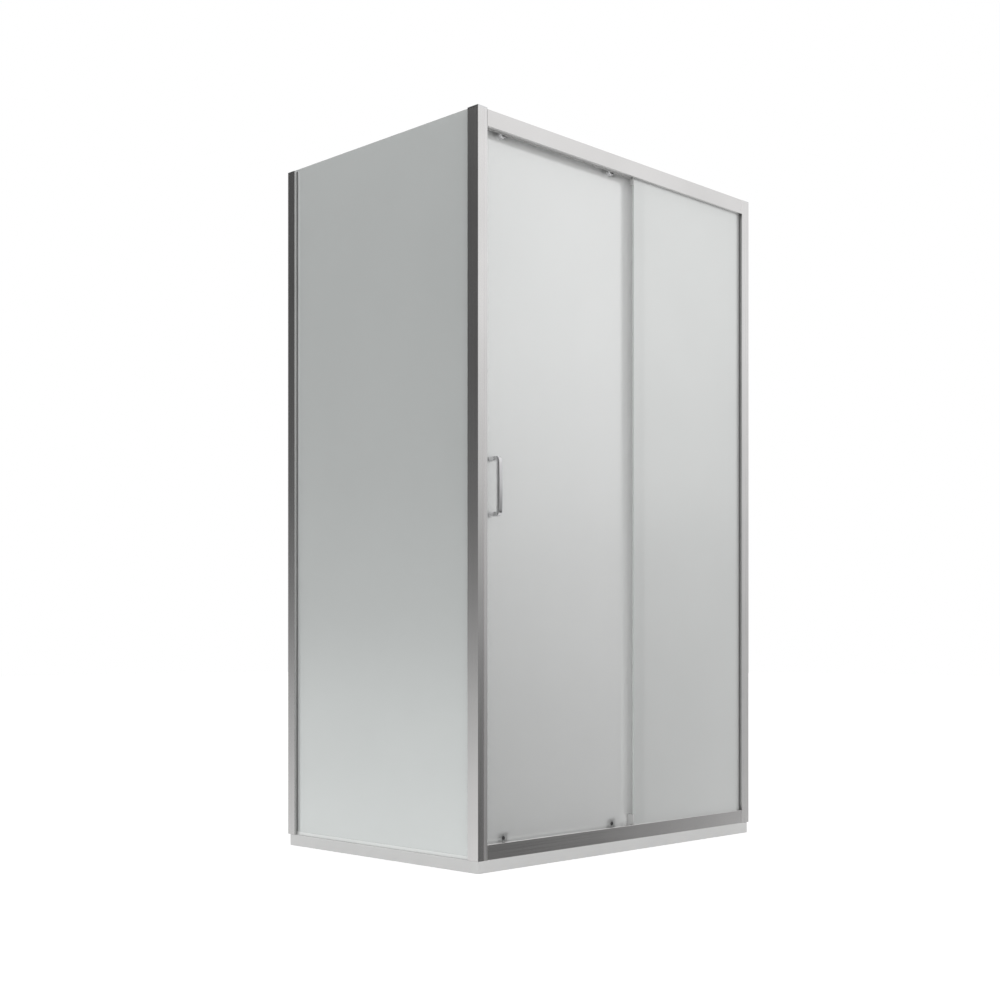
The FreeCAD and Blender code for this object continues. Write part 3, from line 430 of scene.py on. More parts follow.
class Finishes:
    """The finishes of the enclosure, made once each."""

    def __init__(self) -> None:
        """Makes every material, and says which slot and which single nodes take it."""
        metal = dict(metallic=1.0, roughness=0.18, roughness_drift=0.03)
        bright = dict(colour=(0.80, 0.79, 0.785), **metal)
        # The satin finishes paint shade into their deep corners.
        satin = dict(roughness=0.3, roughness_drift=0.03, grain=Axis.Z, painted_shade_and_light=0.17)
        self.chrome = Finish(
            "chrome_plate", (0.78, 0.78, 0.79), metallic=1.0, roughness=0.1, roughness_drift=0.02
        ).make()
        self.satin_chrome = Finish(
            "satin_chrome", (0.74, 0.74, 0.75), metallic=0.72, roughness=0.24, roughness_drift=0.03
        ).make()
        self.steel = Finish(
            "stainless_steel", (0.58, 0.57, 0.56), metallic=1.0, roughness=0.32, grain=Axis.X
        ).make()
        self.plastic = Finish(
            "grey_moulding", (0.42, 0.42, 0.415), drift=0.05, roughness=0.45, relief=0.00003
        ).make()
        self.dark = Finish(
            "dark_moulding", (0.05, 0.05, 0.052), drift=0.08, roughness=0.35, relief=0.00002
        ).make()
        self.rubber = Finish(
            "grey_rubber", (0.15, 0.15, 0.15), drift=0.08, roughness=0.7, relief=0.00003
        ).make()
        # Painted light: a lighter copy of the grey moulding, for the clips and the housings behind the
        # door glass, so that less shade shows round them.
        pale = Finish("pale_moulding", (0.64, 0.64, 0.635), drift=0.04, relief=0.00003).make()
        self.by_slot = {
            Slot.GLASS: Glazing("satin_glass_door").make(),
            # The uprights paint shade into their deep corners.
            Slot.ALUMINIUM: Finish("aluminium_upright", grain=Axis.Z, painted_shade_and_light=0.4, **bright).make(),
            Slot.CHROME: self.chrome,
            Slot.STEEL: self.steel,
            Slot.ACRYLIC: Finish(
                "white_acrylic", (0.69, 0.69, 0.685), drift=0.02, roughness=0.22, relief=0.00002
            ).make(),
            Slot.PLASTIC: self.plastic,
            Slot.RUBBER: self.rubber,
            Slot.CLEAR: Finish(
                "clear_vinyl", (0.60, 0.61, 0.605), drift=0.04, roughness=0.3, relief=0.00002
            ).make(),
            Slot.DARK: self.dark,
        }
        self.by_node = {
            # Painted light: the fixed and side panes are lighter copies of the door's glass, with their
            # face colours raised to brighten them.
            "fixed_glass": Glazing(
                "satin_glass_fixed", face=(0.752, 0.765, 0.758), through=0.2, lift=1.0
            ).make(),
            "side_glass": Glazing(
                "satin_glass_side",
                face=(0.768, 0.80, 0.79),
                edge=(0.74, 0.77, 0.76),
                across=0,
                mirror=0.46,
                through=0.3,
                lift=1.2,
            ).make(),
            # The head rail paints light into its deep corners.
            "head_rail": Finish(
                "aluminium_head", grain=Axis.X, painted_shade_and_light=1.2, painted_shade_and_light_reach=0.03, **bright
            ).make(),
            "sill_rail": Finish("aluminium_level", grain=Axis.X, **bright).make(),
            # The wall profile paints shade into its deep corners.
            "side_wall_profile": Finish(
                "aluminium_wall", (0.72, 0.712, 0.708), grain=Axis.Z, painted_shade_and_light=0.78, **metal
            ).make(),
            "right_wall_profile": Finish(
                "aluminium_satin", (0.84, 0.83, 0.825), metallic=0.84, **satin
            ).make(),
            "strike_profile": Finish(
                "aluminium_strike", (0.87, 0.86, 0.855), metallic=1.0, **satin
            ).make(),
            "sill_clip": pale,
            "head_clip": pale,
            "bottom_housings": pale,
            "fixed_glass_gasket": Finish(
                "grey_vinyl", (0.36, 0.36, 0.355), drift=0.05, roughness=0.5, relief=0.00002
            ).make(),
            # Painted light: the seal is a much lighter copy of the clear vinyl, to lighten it where it
            # sits in shade.
            "side_bottom_seal": Finish(
                "clear_vinyl_lip", (0.90, 0.92, 0.91), drift=0.02, metallic=0.4, roughness=0.2
            ).make(),
        }

    def of(self, slot: Slot, node: str) -> bpy.types.Material:
        """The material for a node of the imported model.

        Args:
            slot: the record's material slot.
            node: the node's name, which may have a finish of its own.

        Returns:
            The material.
        """
        return self.by_node.get(node, self.by_slot[slot])


# ---------------------------------------------------------------------------------------------------
# The solids of the frame
# ---------------------------------------------------------------------------------------------------


class PackedParts:
    """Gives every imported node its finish."""

    def __init__(self, finishes: Finishes) -> None:
        """Keeps the finishes, and reads each node's slot from the record.

        Args:
            finishes: the enclosure's finishes.
        """
        self.finishes = finishes
        self.slots = {p["node"]: Slot(p["material_slot"]) for p in frame["record"]["subparts"]}

    def dress(self) -> None:
        """Puts the finish in each node's material slots and logs it."""
        for name, node in sorted(frame["nodes"].items()):
            material = self.finishes.of(self.slots[name], name)
            if not node.material_slots:
                node.data.materials.append(material)
            for place in node.material_slots:
                place.material = material
            LOG.info("%s: %s", name, material.name)


# ---------------------------------------------------------------------------------------------------
# Shapes
# ---------------------------------------------------------------------------------------------------


class Surface:
    """A mesh worked out as whole arrays: closed skins over rings of points."""

    def __init__(self) -> None:
        """Starts with no points and no faces."""
        self.points: list[np.ndarray] = []
        self.faces: list[list[int]] = []
        self.count = 0

    def loft(self, rings: np.ndarray, endless: bool = False) -> "Surface":
        """Adds a closed skin over rings of points.

        Quad (i, j) joins points j and j + 1 of rings i and i + 1, counted round the ring. The first and
        the last ring are closed by a flat face each, or joined to each other if the skin is endless. The
        skin's volume is the sum of a . (b x c) / 6 over its triangles, and all faces are turned round if
        it is negative.

        Args:
            rings: the points, with shape (rings, points in a ring, 3), in metres.
            endless: whether the last ring joins the first.

        Returns:
            The surface itself, so that calls can follow each other.
        """
        number, around, _ = rings.shape
        flat = rings.reshape(-1, 3)
        grid = np.arange(number * around).reshape(number, around)
        nexts = np.roll(grid, -1, axis=0) if endless else grid[1:]
        firsts = grid if endless else grid[:-1]
        quads = np.stack(
            [firsts, np.roll(firsts, -1, axis=1), np.roll(nexts, -1, axis=1), nexts], axis=-1
        ).reshape(-1, 4)
        a, b, c, d = (flat[quads[:, k]] - flat.mean(axis=0) for k in range(4))
        volume = np.einsum("ij,ij->", a, np.cross(b, c)) + np.einsum("ij,ij->", a, np.cross(c, d))
        ends = [] if endless else [grid[0][::-1], grid[-1]]
        for end in ends:
            p = flat[end] - flat.mean(axis=0)
            fan = np.broadcast_to(p[0], p[1:-1].shape)
            volume += np.einsum("ij,ij->", fan, np.cross(p[1:-1], p[2:]))
        turn = 1 if volume > 0 else -1
        self.faces += [face[::turn] for face in (quads + self.count).tolist()]
        self.faces += [(end + self.count).tolist()[::turn] for end in ends]
        self.points.append(flat)
        self.count += len(flat)
        return self

    def make(self, name: str, material: bpy.types.Material) -> bpy.types.Object:
        """Turns the arrays into an object.

        Args:
            name: the object's name.
            material: its material.

        Returns:
            The object, linked to the scene.
        """
        mesh = bpy.data.meshes.new(name)
        mesh.from_pydata(np.concatenate(self.points).tolist(), [], self.faces)
        mesh.polygons.foreach_set("use_smooth", np.ones(len(mesh.polygons), dtype=bool))
        mesh.set_sharp_from_angle(angle=SMOOTH)
        mesh.materials.append(material)
        piece = bpy.data.objects.new(name, mesh)
        bpy.context.scene.collection.objects.link(piece)
        return piece


def eased(corners: list[Range], reach: float, closed: bool = False) -> np.ndarray:
    """An outline with its corners rounded.

    A corner C becomes the curve (1 - t)^2 A + 2 (1 - t) t C + t^2 B, where A and B lie on its two sides,
    at the reach from C or at the round limit's share of the side's length, whichever is less.

    Args:
        corners: the outline's corners.
        reach: how far along its sides a corner is rounded.
        closed: whether the outline is a ring, or a line whose two ends stay as they are.

    Returns:
        The points of the rounded outline, with shape (points, 2).
    """
    points = np.asarray(corners, dtype=float)
    corner = points if closed else points[1:-1]
    before = np.roll(points, 1, axis=0) if closed else points[:-2]
    after = np.roll(points, -1, axis=0) if closed else points[2:]

    def towards(other: np.ndarray) -> np.ndarray:
        """Where the curves start on the sides that lead to other corners.

        Args:
            other: the corners at those sides' far ends.

        Returns:
            The points, one for each corner.
        """
        side = other - corner
        length = np.linalg.norm(side, axis=1, keepdims=True)
        return corner + side * np.minimum(reach / length, ROUND_LIMIT)

    t = np.linspace(0.0, 1.0, ROUND_STEPS)[None, :, None]
    start, end = towards(before)[:, None], towards(after)[:, None]
    curve = (1 - t) ** 2 * start + 2 * (1 - t) * t * corner[:, None] + t**2 * end
    curve = curve.reshape(-1, 2)
    return curve if closed else np.concatenate([points[:1], curve, points[-1:]])


def turned(
    outline: np.ndarray, centre: Vector, axis: Triple, shape: np.ndarray | None = None
) -> np.ndarray:
    """The rings of an outline turned about an axis.

    With the outline's points (r, t) in millimetres and the angle a round the axis w, with u and v square
    to it, a point is centre + t w + r s (cos a u + sin a v), where s is 1 or the shape's own factor.

    Args:
        outline: the points (radius, distance along the axis).
        centre: the axis' point where the distance is 0, in metres.
        axis: the axis' direction, of length 1.
        shape: factors on the radius, with shape (points of the outline, points in a ring).

    Returns:
        The rings, with shape (points of the outline, points in a ring, 3), in metres.
    """
    around = RING if shape is None else shape.shape[1]
    angle = np.linspace(0.0, 2 * math.pi, around, endpoint=False)
    w = np.asarray(axis, dtype=float)
    u = np.roll(w, 1)
    v = np.cross(w, u)
    spoke = np.cos(angle)[:, None] * u + np.sin(angle)[:, None] * v
    radius = outline[:, :1] * (1.0 if shape is None else shape)
    rings = outline[:, 1][:, None, None] * w + radius[..., None] * spoke
    return np.asarray(centre)[None, None] + rings * MM


def fluted(outline: np.ndarray, floor: float, flutes: int, depth: float) -> np.ndarray:
    """Factors that cut shallow flutes into the widest part of a turned piece.

    The factor is 1 - depth (1 - cos(flutes a)) / 2 where the radius is above the floor, and 1 elsewhere.

    Args:
        outline: the points (radius, distance along the axis).
        floor: the radius above which the flutes are cut.
        flutes: how many there are.
        depth: their depth as a share of the radius.

    Returns:
        The factors, with shape (points of the outline, points in a ring).
    """
    angle = np.linspace(0.0, 2 * math.pi, flutes * FLUTE_STEPS, endpoint=False)
    cut = depth * (1 - np.cos(flutes * angle)) / 2
    return 1 - (outline[:, :1] > floor) * cut[None]


def hexagonal(outline: np.ndarray, ceiling: float) -> np.ndarray:
    """Factors that make the narrow part of a turned piece six-sided, for a socket.

    The factor is cos 30 / cos((a mod 60) - 30) where the radius is below the ceiling, and 1 elsewhere.

    Args:
        outline: the points (radius, distance along the axis).
        ceiling: the radius below which the piece is six-sided.

    Returns:
        The factors, with shape (points of the outline, points in a ring).
    """
    angle = np.linspace(0.0, 2 * math.pi, RING, endpoint=False)
    side = math.cos(math.pi / 6) / np.cos(angle % (math.pi / 3) - math.pi / 6)
    return np.where(outline[:, :1] < ceiling, side[None], 1.0)


def along(section: np.ndarray, start: Vector, across: Vector, out: Vector, run: Vector) -> np.ndarray:
    """The rings of a section carried along a straight run.

    With the section's points (p, q) in millimetres, a point is start + p across + q out + s run, where s
    is 0 or 1.

    Args:
        section: the closed section's points.
        start: where the section's zero is at the run's start, in metres.
        across: the direction of p.
        out: the direction of q.
        run: the way from the start to the end, in metres.

    Returns:
        The two rings, with shape (2, points in a ring, 3), in metres.
    """
    face = section[:, :1] * np.asarray(across) + section[:, 1:] * np.asarray(out)
    steps = np.array([0.0, 1.0])[:, None, None] * np.asarray(run)[None, None]
    return np.asarray(start)[None, None] + face[None] * MM + steps


# ---------------------------------------------------------------------------------------------------
# Sub-assemblies with finer shapes than the solids have
# ---------------------------------------------------------------------------------------------------


@dataclass
class SubAssembly:
    """What every sub-assembly needs: the finishes, and a way to fit a piece to the frame."""

    finishes: Finishes

    def fit(self, piece: bpy.types.Object, slot: Slot, body: str, node: str) -> None:
        """Rides a piece on its body, in place of its node, and logs it.

        Args:
            piece: the new piece.
            slot: the record's slot that the log names for it.
            body: the body that it moves with.
            node: the node that it stands for.
        """
        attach(piece, body)
        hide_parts(node)
        LOG.info("%s: %s, rides on %s", piece.name, slot.value, body)


@dataclass
class RollerKnobs(SubAssembly):
    """The two knobs at the top of the door: dished face, fluted grip and bolt. Millimetres."""

    grip_depth: float = 8.0
    neck: float = 11.3
    washer_depth: float = 10.5
    bolt: float = 4.0
    bolt_depth: float = 20.0
    stud: float = 2.0
    stud_depth: float = 22.0
    flutes: int = 30
    flute_depth: float = 0.035
    soft: float = 0.5

    def build(self) -> None:
        """Makes both knobs as one piece."""
        low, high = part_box("roller_knobs")
        radius = (high.z - low.z) / 2 / MM
        dish = [(TIP, 1.9), (4.6, 1.5), (radius - 4.2, 0.5), (radius - 3.2, 0.0)]
        grip = [(radius - 1.4, 0.3), (radius, 2.6), (radius, self.grip_depth)]
        neck = [(self.neck, self.grip_depth + 0.5), (self.neck, self.washer_depth - 1.1)]
        washer = [(radius - 0.3, self.washer_depth - 0.8), (radius - 0.3, self.washer_depth)]
        bolt = [(self.bolt, self.washer_depth), (self.bolt, self.bolt_depth)]
        stud = [(self.stud, self.bolt_depth), (self.stud, self.stud_depth), (TIP, self.stud_depth)]
        outline = eased(dish + grip + neck + washer + bolt + stud, self.soft)
        flutes = fluted(outline, radius - 0.1, self.flutes, self.flute_depth)
        surface = Surface()
        for x in (low.x + radius * MM, high.x - radius * MM):
            centre = Vector((x, low.y, (low.z + high.z) / 2))
            surface.loft(turned(outline, centre, INWARD, flutes))
        piece = surface.make("turned_knobs", self.finishes.satin_chrome)
        self.fit(piece, Slot.CHROME, "door", "roller_knobs")


@dataclass
class ReleaseButtons(SubAssembly):
    """The two sprung buttons at the foot of the door: dished cap, collar and stem. Millimetres."""

    cap: float = 5.0
    cap_depth: float = 10.3
    collar_depth: float = 2.0
    stem: float = 2.5
    soft: float = 0.4

    def build(self) -> None:
        """Makes each button as a piece of its own."""
        for side in ("left", "right"):
            node = f"release_button_{side}"
            low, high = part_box(node)
            collar = (high.z - low.z) / 2 / MM
            long = (high.y - low.y) / MM
            shoulder = min(long, self.cap_depth + self.collar_depth)
            dish = [(TIP, 0.75), (2.6, 0.6), (self.cap - 0.9, 0.0)]
            cap = [(self.cap, 0.6), (self.cap, shoulder - self.collar_depth)]
            ring = [(collar, shoulder - self.collar_depth), (collar, shoulder)]
            stem = [(self.stem, shoulder), (self.stem, long), (TIP, long)]
            centre = Vector(((low.x + high.x) / 2, low.y, (low.z + high.z) / 2))
            outline = eased(dish + cap + ring + stem, self.soft)
            surface = Surface().loft(turned(outline, centre, INWARD))
            piece = surface.make(f"moulded_button_{side}", self.finishes.dark)
            self.fit(piece, Slot.DARK, node, node)


@dataclass
class WasteCover(SubAssembly):
    """The lift-off cover of the waste: a crowned plate with a rolled edge on three pins. Millimetres."""

    rim: float = 3.4
    border: float = 5.0
    under: float = 2.3
    crown: float = 1.3
    crown_steps: int = 24
    soft: float = 0.5
    pin: float = 2.5
    pin_ring: float = 49.5
    pin_soft: float = 0.6
    pins: int = 3

    def build(self) -> None:
        """Makes the plate and its pins as one piece.

        The top is at t = crown (r / radius)^2 below the highest point, and a shallow ring groove marks
        where it meets the rolled edge.
        """
        low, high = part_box("waste_cover")
        radius = (high.x - low.x) / 2 / MM
        top = np.linspace(TIP, radius - self.border, self.crown_steps)
        crown = np.stack([top, self.crown * (top / radius) ** 2], axis=1)
        groove = [(radius - 4.6, 1.15), (radius - 4.1, 1.55), (radius - 3.6, 1.2)]
        roll = [(radius - 1.4, 1.25), (radius, 2.0), (radius, self.rim), (radius - 1.5, self.rim)]
        back = [(radius - 2.0, self.under + 0.3), (TIP, self.under)]
        edge = eased(groove + roll + back, self.soft)
        centre = Vector(((low.x + high.x) / 2, (low.y + high.y) / 2, high.z))
        down = (0.0, 0.0, -1.0)
        surface = Surface().loft(turned(np.concatenate([crown, edge]), centre, down))
        depth = (high.z - low.z) / MM
        seat = self.under + 0.1
        pin = [(TIP, seat), (self.pin, seat), (self.pin, depth), (TIP, depth)]
        foot = eased(pin, self.pin_soft)
        for turn in np.arange(self.pins) * 2 * math.pi / self.pins:
            shift = Vector((math.cos(turn), math.sin(turn), 0.0)) * self.pin_ring * MM
            surface.loft(turned(foot, centre + shift, down))
        piece = surface.make("crowned_waste_cover", self.finishes.chrome)
        self.fit(piece, Slot.CHROME, "waste_cover", "waste_cover")


@dataclass
class Wheels(SubAssembly):
    """The six grooved wheels, with recessed webs. Millimetres."""

    bore: float = 5.58
    hub: float = 1.0
    groove: float = 1.6
    mouth: float = 2.35
    flange: float = 1.5
    recess: float = 0.8
    soft: float = 0.25

    def build(self) -> None:
        """Makes each wheel as a piece of its own, an outline turned into an endless skin."""
        names = [f"top_wheel_{number}" for number in range(1, 5)]
        names += [f"bottom_wheel_{side}" for side in ("left", "right")]
        for node in names:
            low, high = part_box(node)
            rim = (high.z - low.z) / 2 / MM
            half = (high.y - low.y) / 2 / MM
            tread = rim - self.flange
            side = [
                (self.bore, -half),
                (self.bore + self.hub, -half),
                (self.bore + self.hub + 0.2, -half + self.recess),
                (tread - 0.9, -half + self.recess),
                (tread - 0.6, -half),
                (rim, -half),
                (rim, -self.mouth),
                (tread, -self.groove),
            ]
            outline = eased(side + [(r, -t) for r, t in side[::-1]], self.soft, closed=True)
            rings = turned(outline, (low + high) / 2, INWARD)
            piece = Surface().loft(rings, endless=True).make(f"moulded_{node}", self.finishes.plastic)
            self.fit(piece, Slot.PLASTIC, node, node)


@dataclass
class BowHandles(SubAssembly):
    """The bow handles: a soft-cornered square bar, round elbows and a crowned grip. Millimetres."""

    bar: float = 12.0
    corner: float = 1.4
    elbow: float = 7.0
    elbow_steps: int = 9
    crown: float = 2.0
    grip_steps: int = 24

    def path(self, reach: float, length: float) -> tuple[np.ndarray, np.ndarray]:
        """The middle line of the bow and its outward directions, in the plane of reach and height.

        The line goes out from the glass, round a quarter circle, up the grip, round a quarter circle and
        back. With the turn a from 0 to 90 degrees, the outward direction is (sin a, -cos a) below, and
        its mirror image above.

        Args:
            reach: the distance from the bow's foot to its outer face.
            length: the bow's height.

        Returns:
            The line's points and the outward directions, each with shape (points, 2).
        """
        half = self.bar / 2
        turn = np.linspace(0.0, math.pi / 2, self.elbow_steps)
        bend = np.array([reach - half - self.elbow, -length / 2 + half + self.elbow])
        outward = np.stack([np.sin(turn), -np.cos(turn)], axis=1)
        lower = np.concatenate([[[0.0, -length / 2 + half]], bend + self.elbow * outward])
        lower_out = np.concatenate([outward[:1], outward])
        grip_z = np.linspace(lower[-1, 1], -lower[-1, 1], self.grip_steps + 2)[1:-1]
        grip = np.stack([np.full_like(grip_z, lower[-1, 0]), grip_z], axis=1)
        grip_out = np.tile([1.0, 0.0], (len(grip), 1))
        mirror = np.array([1.0, -1.0])
        line = np.concatenate([lower, grip, lower[::-1] * mirror])
        return line, np.concatenate([lower_out, grip_out, lower_out[::-1] * mirror])

    def build(self) -> None:
        """Makes both handles.

        A point of the bar is line + p x + q outward. At the distance f from the glass it then moves in
        by crown (z / half length)^2 (f / reach)^4, so that the grip stands out most in the middle.
        """
        half = self.bar / 2
        square = [(-half, -half), (half, -half), (half, half), (-half, half)]
        section = eased(square, self.corner, closed=True)
        for node, out in (("handle_outer", -1.0), ("handle_inner", 1.0)):
            low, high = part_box(node)
            reach = (high.y - low.y) / MM
            length = (high.z - low.z) / MM
            line, outward = self.path(reach, length)
            foot = high.y if out < 0 else low.y
            p, q = section[:, 0][None], section[:, 1][None]
            far = line[:, :1] + q * outward[:, :1]
            up = line[:, 1:] + q * outward[:, 1:]
            far = far - self.crown * (up / (length / 2)) ** 2 * np.clip(far / reach, 0.0, 1.0) ** 4
            middle = Vector(((low.x + high.x) / 2, foot, (low.z + high.z) / 2))
            rings = np.stack([np.broadcast_to(p, far.shape), out * far, up], axis=-1) * MM
            piece = Surface().loft(rings + np.asarray(middle)).make(f"bow_{node}", self.finishes.chrome)
            self.fit(piece, Slot.CHROME, "door", node)


@dataclass
class Gaskets(SubAssembly):
    """The glazing gaskets: a bead in the pocket with a soft lip that lies on the glass. Millimetres."""

    lip: float = 2.6
    lip_height: float = 2.3
    bead: float = 1.95
    soft: float = 0.35

    def section(self, deep: float) -> np.ndarray:
        """The gasket's section: p runs into the pocket from its mouth, q stands off the glass.

        Args:
            deep: how deep the bead sits in the pocket.

        Returns:
            The closed section's points.
        """
        slope = [(-self.lip, 0.0), (-self.lip * 0.8, self.lip_height * 0.65)]
        top = [(-self.lip * 0.35, self.lip_height), (-0.1, self.lip_height)]
        bead = [(-0.1, self.bead), (deep, self.bead), (deep, 0.0)]
        return eased(slope + top + bead, self.soft, closed=True)

    def build(self) -> None:
        """Makes the gaskets of the three upright profiles, each as one piece of two strips."""
        pane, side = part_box("fixed_glass"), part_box("side_glass")
        x, y = Vector((1.0, 0.0, 0.0)), Vector((0.0, 1.0, 0.0))
        uprights = (
            ("right_wall_gasket", x, ((pane[0].y, -y), (pane[1].y, y))),
            ("side_wall_gasket", y, ((side[0].x, -x), (side[1].x, x))),
            ("corner_gasket", -y, ((side[0].x, -x), (side[1].x, x))),
        )
        for node, into, faces in uprights:
            low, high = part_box(node)
            mouth = min(low.dot(into), high.dot(into))
            deep = abs((high - low).dot(into)) / MM
            surface = Surface()
            for face, out in faces:
                plane = abs(out.x) * Vector((face, 0, 0)) + abs(out.y) * Vector((0, face, 0))
                start = plane + into * mouth + Vector((0.0, 0.0, low.z))
                run = Vector((0.0, 0.0, high.z - low.z))
                surface.loft(along(self.section(deep), start, into, out, run))
            piece = surface.make(f"lipped_{node}", self.finishes.rubber)
            self.fit(piece, Slot.RUBBER, "frame", node)


@dataclass
class LockingScrews(SubAssembly):
    """The screws that lock the wall profiles to their channels, with hex sockets. Millimetres."""

    head: float = 4.0
    head_depth: float = 3.0
    shank: float = 2.0
    length: float = 9.6
    socket: float = 1.7
    socket_depth: float = 1.8
    soft: float = 0.3
    number: int = 3

    def build(self) -> None:
        """Makes the screws of each wall profile as one piece."""
        socket = [(TIP, self.socket_depth + 0.2), (self.socket, self.socket_depth), (self.socket, 0.05)]
        dome = [(self.head - 1.4, 0.0), (self.head, 1.3), (self.head, self.head_depth)]
        shank = [(self.shank, self.head_depth), (self.shank, self.length), (TIP, self.length)]
        outline = eased(socket + dome + shank, self.soft)
        shape = hexagonal(outline, self.socket + 0.05)
        rows = (("side_locking_screws", (-1.0, 0.0, 0.0)), ("right_locking_screws", (0.0, -1.0, 0.0)))
        for node, inward in rows:
            low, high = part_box(node)
            surface = Surface()
            for z in np.linspace(low.z + self.head * MM, high.z - self.head * MM, self.number):
                tip = Vector(((low.x + high.x) / 2, (low.y + high.y) / 2, z))
                tip.x = high.x if inward[0] else tip.x
                tip.y = high.y if inward[1] else tip.y
                surface.loft(turned(outline, tip, inward, shape))
            piece = surface.make(f"domed_{node}", self.finishes.steel)
            self.fit(piece, Slot.STEEL, "frame", node)


# ---------------------------------------------------------------------------------------------------
# The studio
# ---------------------------------------------------------------------------------------------------


@dataclass(frozen=True)
class Camera:
    """The photograph's viewpoint: left of the corner, low, looking level, with a lens shift upwards."""

    place: Triple = (-3.294, -3.1385, 0.602)
    turn: float = math.radians(45.37)
    sensor: float = 36.0
    lens: float = 53.71
    shift: float = 0.1408
    clip: Range = (0.05, 200.0)

    def make(self) -> bpy.types.Object:
        """Makes the camera the scene's own.

        Returns:
            The camera object.
        """
        data = bpy.data.cameras.new("studio_camera")
        data.sensor_width = self.sensor
        data.lens = self.lens
        data.shift_y = self.shift
        data.clip_start, data.clip_end = self.clip
        camera = bpy.data.objects.new("studio_camera", data)
        camera.location = self.place
        camera.rotation_euler = (math.pi / 2, 0.0, -self.turn)
        bpy.context.scene.collection.objects.link(camera)
        bpy.context.scene.camera = camera
        return camera


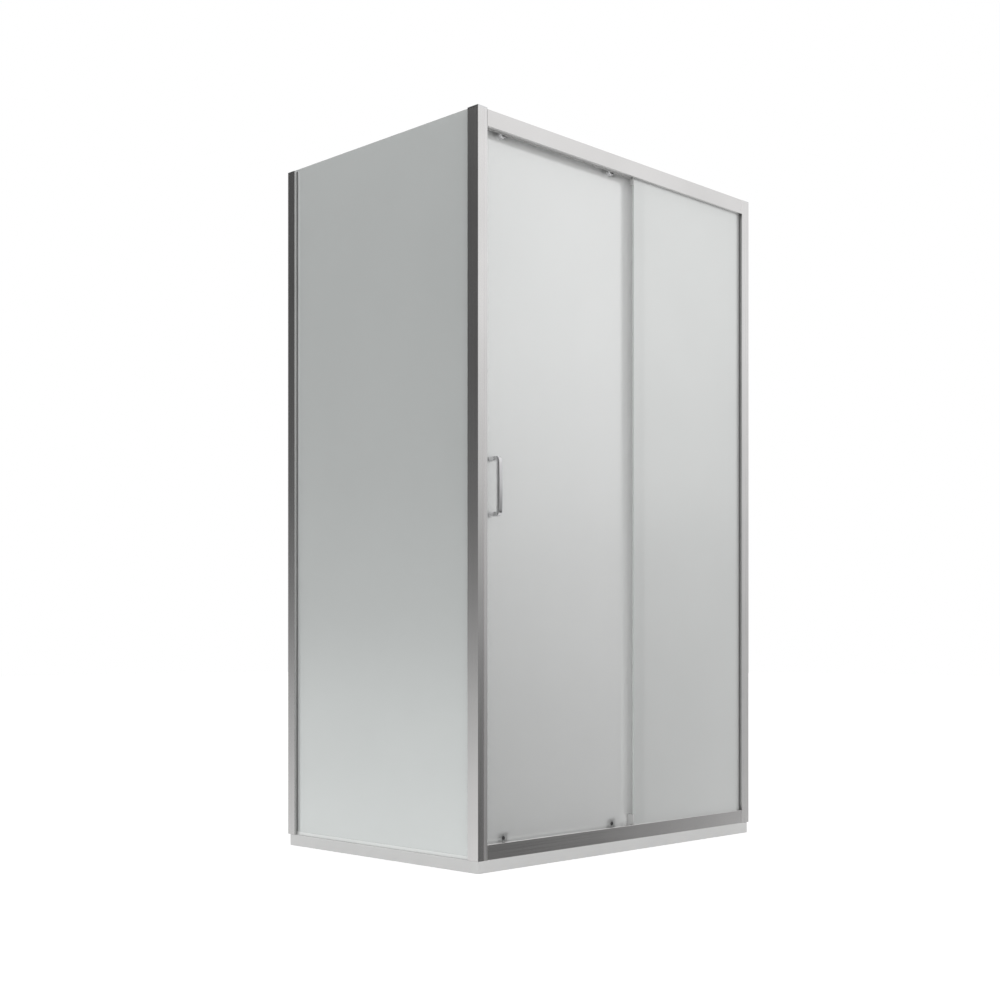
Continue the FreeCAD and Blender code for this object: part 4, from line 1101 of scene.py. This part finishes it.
@dataclass(frozen=True)
class Surround:
    """Soft light from all round, and a graded room for the metal to reflect.

    A direction d has the height h and the parts s = d . sideways and a = d . ahead. Its brightness is
    mix(rear(h), mix(front(h), far(h), f), g), where g goes from 0 to 1 while s goes from -spread to
    spread, and f is (a / turn) to the power of bend, from 0 to 1. So the room is dim below and bright
    above towards the right of the front, bright below and dim above towards the left of the rear, and
    brighter below towards the right of the rear. Every ramp ends bright at both ends, so that the metal
    is bright from above too.
    """

    level: float = 1.0
    reach: float = 0.5
    sideways: Triple = (0.7071, -0.7071, 0.0)
    spread: float = 0.6
    ahead: Triple = (0.7071, 0.7071, 0.0)
    turn: float = 0.175
    bend: float = 3.0
    front: tuple[Range, ...] = (
        (-0.5, 0.70),
        (-0.26, 0.11),
        (-0.16, 0.11),
        (-0.07, 0.14),
        (0.03, 0.31),
        (0.127, 0.65),
        (0.22, 0.87),
        (0.5, 0.92),
    )
    far: tuple[Range, ...] = (
        (-0.5, 0.75),
        (-0.26, 0.66),
        (-0.16, 0.66),
        (-0.07, 0.42),
        (0.03, 0.46),
        (0.127, 0.70),
        (0.22, 0.83),
        (0.5, 0.88),
    )
    rear: tuple[Range, ...] = (
        (-0.5, 0.78),
        (-0.26, 0.84),
        (-0.15, 0.84),
        (-0.07, 0.56),
        (0.03, 0.20),
        (0.127, 0.105),
        (0.22, 0.085),
        (0.36, 0.085),
        (0.5, 0.70),
    )

    def ramp(self, nodes: Nodes, height: Socket, stops: tuple[Range, ...]) -> Socket:
        """A grey value by height, from -reach to reach.

        Args:
            nodes: the world's node tree.
            height: the direction's height, from -1 to 1.
            stops: pairs of height and grey.

        Returns:
            The colour's socket.
        """
        ramp = nodes.add("ShaderNodeValToRGB")
        ramp.color_ramp.interpolation = "EASE"
        elements = ramp.color_ramp.elements
        for index, (place, grey) in enumerate(stops):
            share = (place + self.reach) / (2 * self.reach)
            stop = elements[index] if index < 2 else elements.new(share)
            stop.position = share
            stop.color = (grey, grey, grey, 1.0)
        nodes.set(ramp, "Fac", nodes.span(height, 0.0, 1.0, (-self.reach, self.reach)))
        return ramp.outputs["Color"]

    def make(self) -> bpy.types.World:
        """Makes the world: white to the camera, graded to glossy rays, even to all others.

        Returns:
            The world.
        """
        world = bpy.data.worlds.new("studio_surround")
        nodes = Nodes(world, "ShaderNodeOutputWorld")
        direction = nodes.add("ShaderNodeTexCoord").outputs["Generated"]
        split = nodes.add("ShaderNodeSeparateXYZ")
        nodes.set(split, "Vector", direction)
        front, far, rear = (
            self.ramp(nodes, split.outputs["Z"], stops) for stops in (self.front, self.far, self.rear)
        )
        turned_away = nodes.span(nodes.dot(direction, self.ahead), 0.0, 1.0, (0.0, self.turn))
        fore = nodes.blend(nodes.math("POWER", turned_away, self.bend), front, far)
        share = nodes.span(nodes.dot(direction, self.sideways), 0.0, 1.0, (-self.spread, self.spread))
        path = nodes.add("ShaderNodeLightPath")
        even = (self.level, self.level, self.level, 1.0)
        lit = nodes.blend(path.outputs["Is Glossy Ray"], even, nodes.blend(share, rear, fore))
        seen = nodes.blend(path.outputs["Is Camera Ray"], lit, (1.0, 1.0, 1.0, 1.0))
        background = nodes.add("ShaderNodeBackground")
        nodes.set(background, "Color", seen)
        nodes.close(background.outputs["Background"])
        bpy.context.scene.world = world
        return world


@dataclass(frozen=True)
class Floor:
    """A wide pale floor with a faint shadow, lifted to white for the camera and clear to glossy rays."""

    size: float = 40.0
    grey: float = 0.8
    lift: float = 0.45

    def make(self) -> bpy.types.Object:
        """Makes the floor as one flat face.

        Returns:
            The floor object.
        """
        half = self.size / 2
        corners = [(-half, -half, 0.0), (half, -half, 0.0), (half, half, 0.0), (-half, half, 0.0)]
        mesh = bpy.data.meshes.new("studio_floor")
        mesh.from_pydata(corners, [], [(0, 1, 2, 3)])
        floor = bpy.data.objects.new("studio_floor", mesh)
        bpy.context.scene.collection.objects.link(floor)
        nodes = Nodes(bpy.data.materials.new("studio_floor"))
        path = nodes.add("ShaderNodeLightPath")
        diffuse = nodes.add("ShaderNodeBsdfDiffuse")
        nodes.set(diffuse, "Color", (self.grey, self.grey, self.grey, 1.0))
        glow = nodes.add("ShaderNodeEmission")
        nodes.set(glow, "Strength", nodes.math("MULTIPLY", path.outputs["Is Camera Ray"], self.lift))
        total = nodes.add("ShaderNodeAddShader")
        nodes.set(total, 0, diffuse.outputs["BSDF"])
        nodes.set(total, 1, glow.outputs["Emission"])
        mix = nodes.add("ShaderNodeMixShader")
        nodes.set(mix, "Fac", path.outputs["Is Glossy Ray"])
        nodes.set(mix, 1, total.outputs["Shader"])
        nodes.set(mix, 2, nodes.add("ShaderNodeBsdfTransparent").outputs["BSDF"])
        mesh.materials.append(nodes.close(mix.outputs["Shader"]))
        return floor


def main() -> None:
    """Builds the dressed enclosure and its studio."""
    logging.basicConfig(level=logging.INFO, format="%(name)s: %(message)s")
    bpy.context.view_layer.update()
    finishes = Finishes()
    PackedParts(finishes).dress()
    for kind in (RollerKnobs, ReleaseButtons, WasteCover, Wheels, BowHandles, Gaskets, LockingScrews):
        kind(finishes).build()
    bpy.context.scene.view_settings.view_transform = "Standard"
    Surround().make()
    Floor().make()
    Camera().make()


if __name__ == "__main__":
    main()
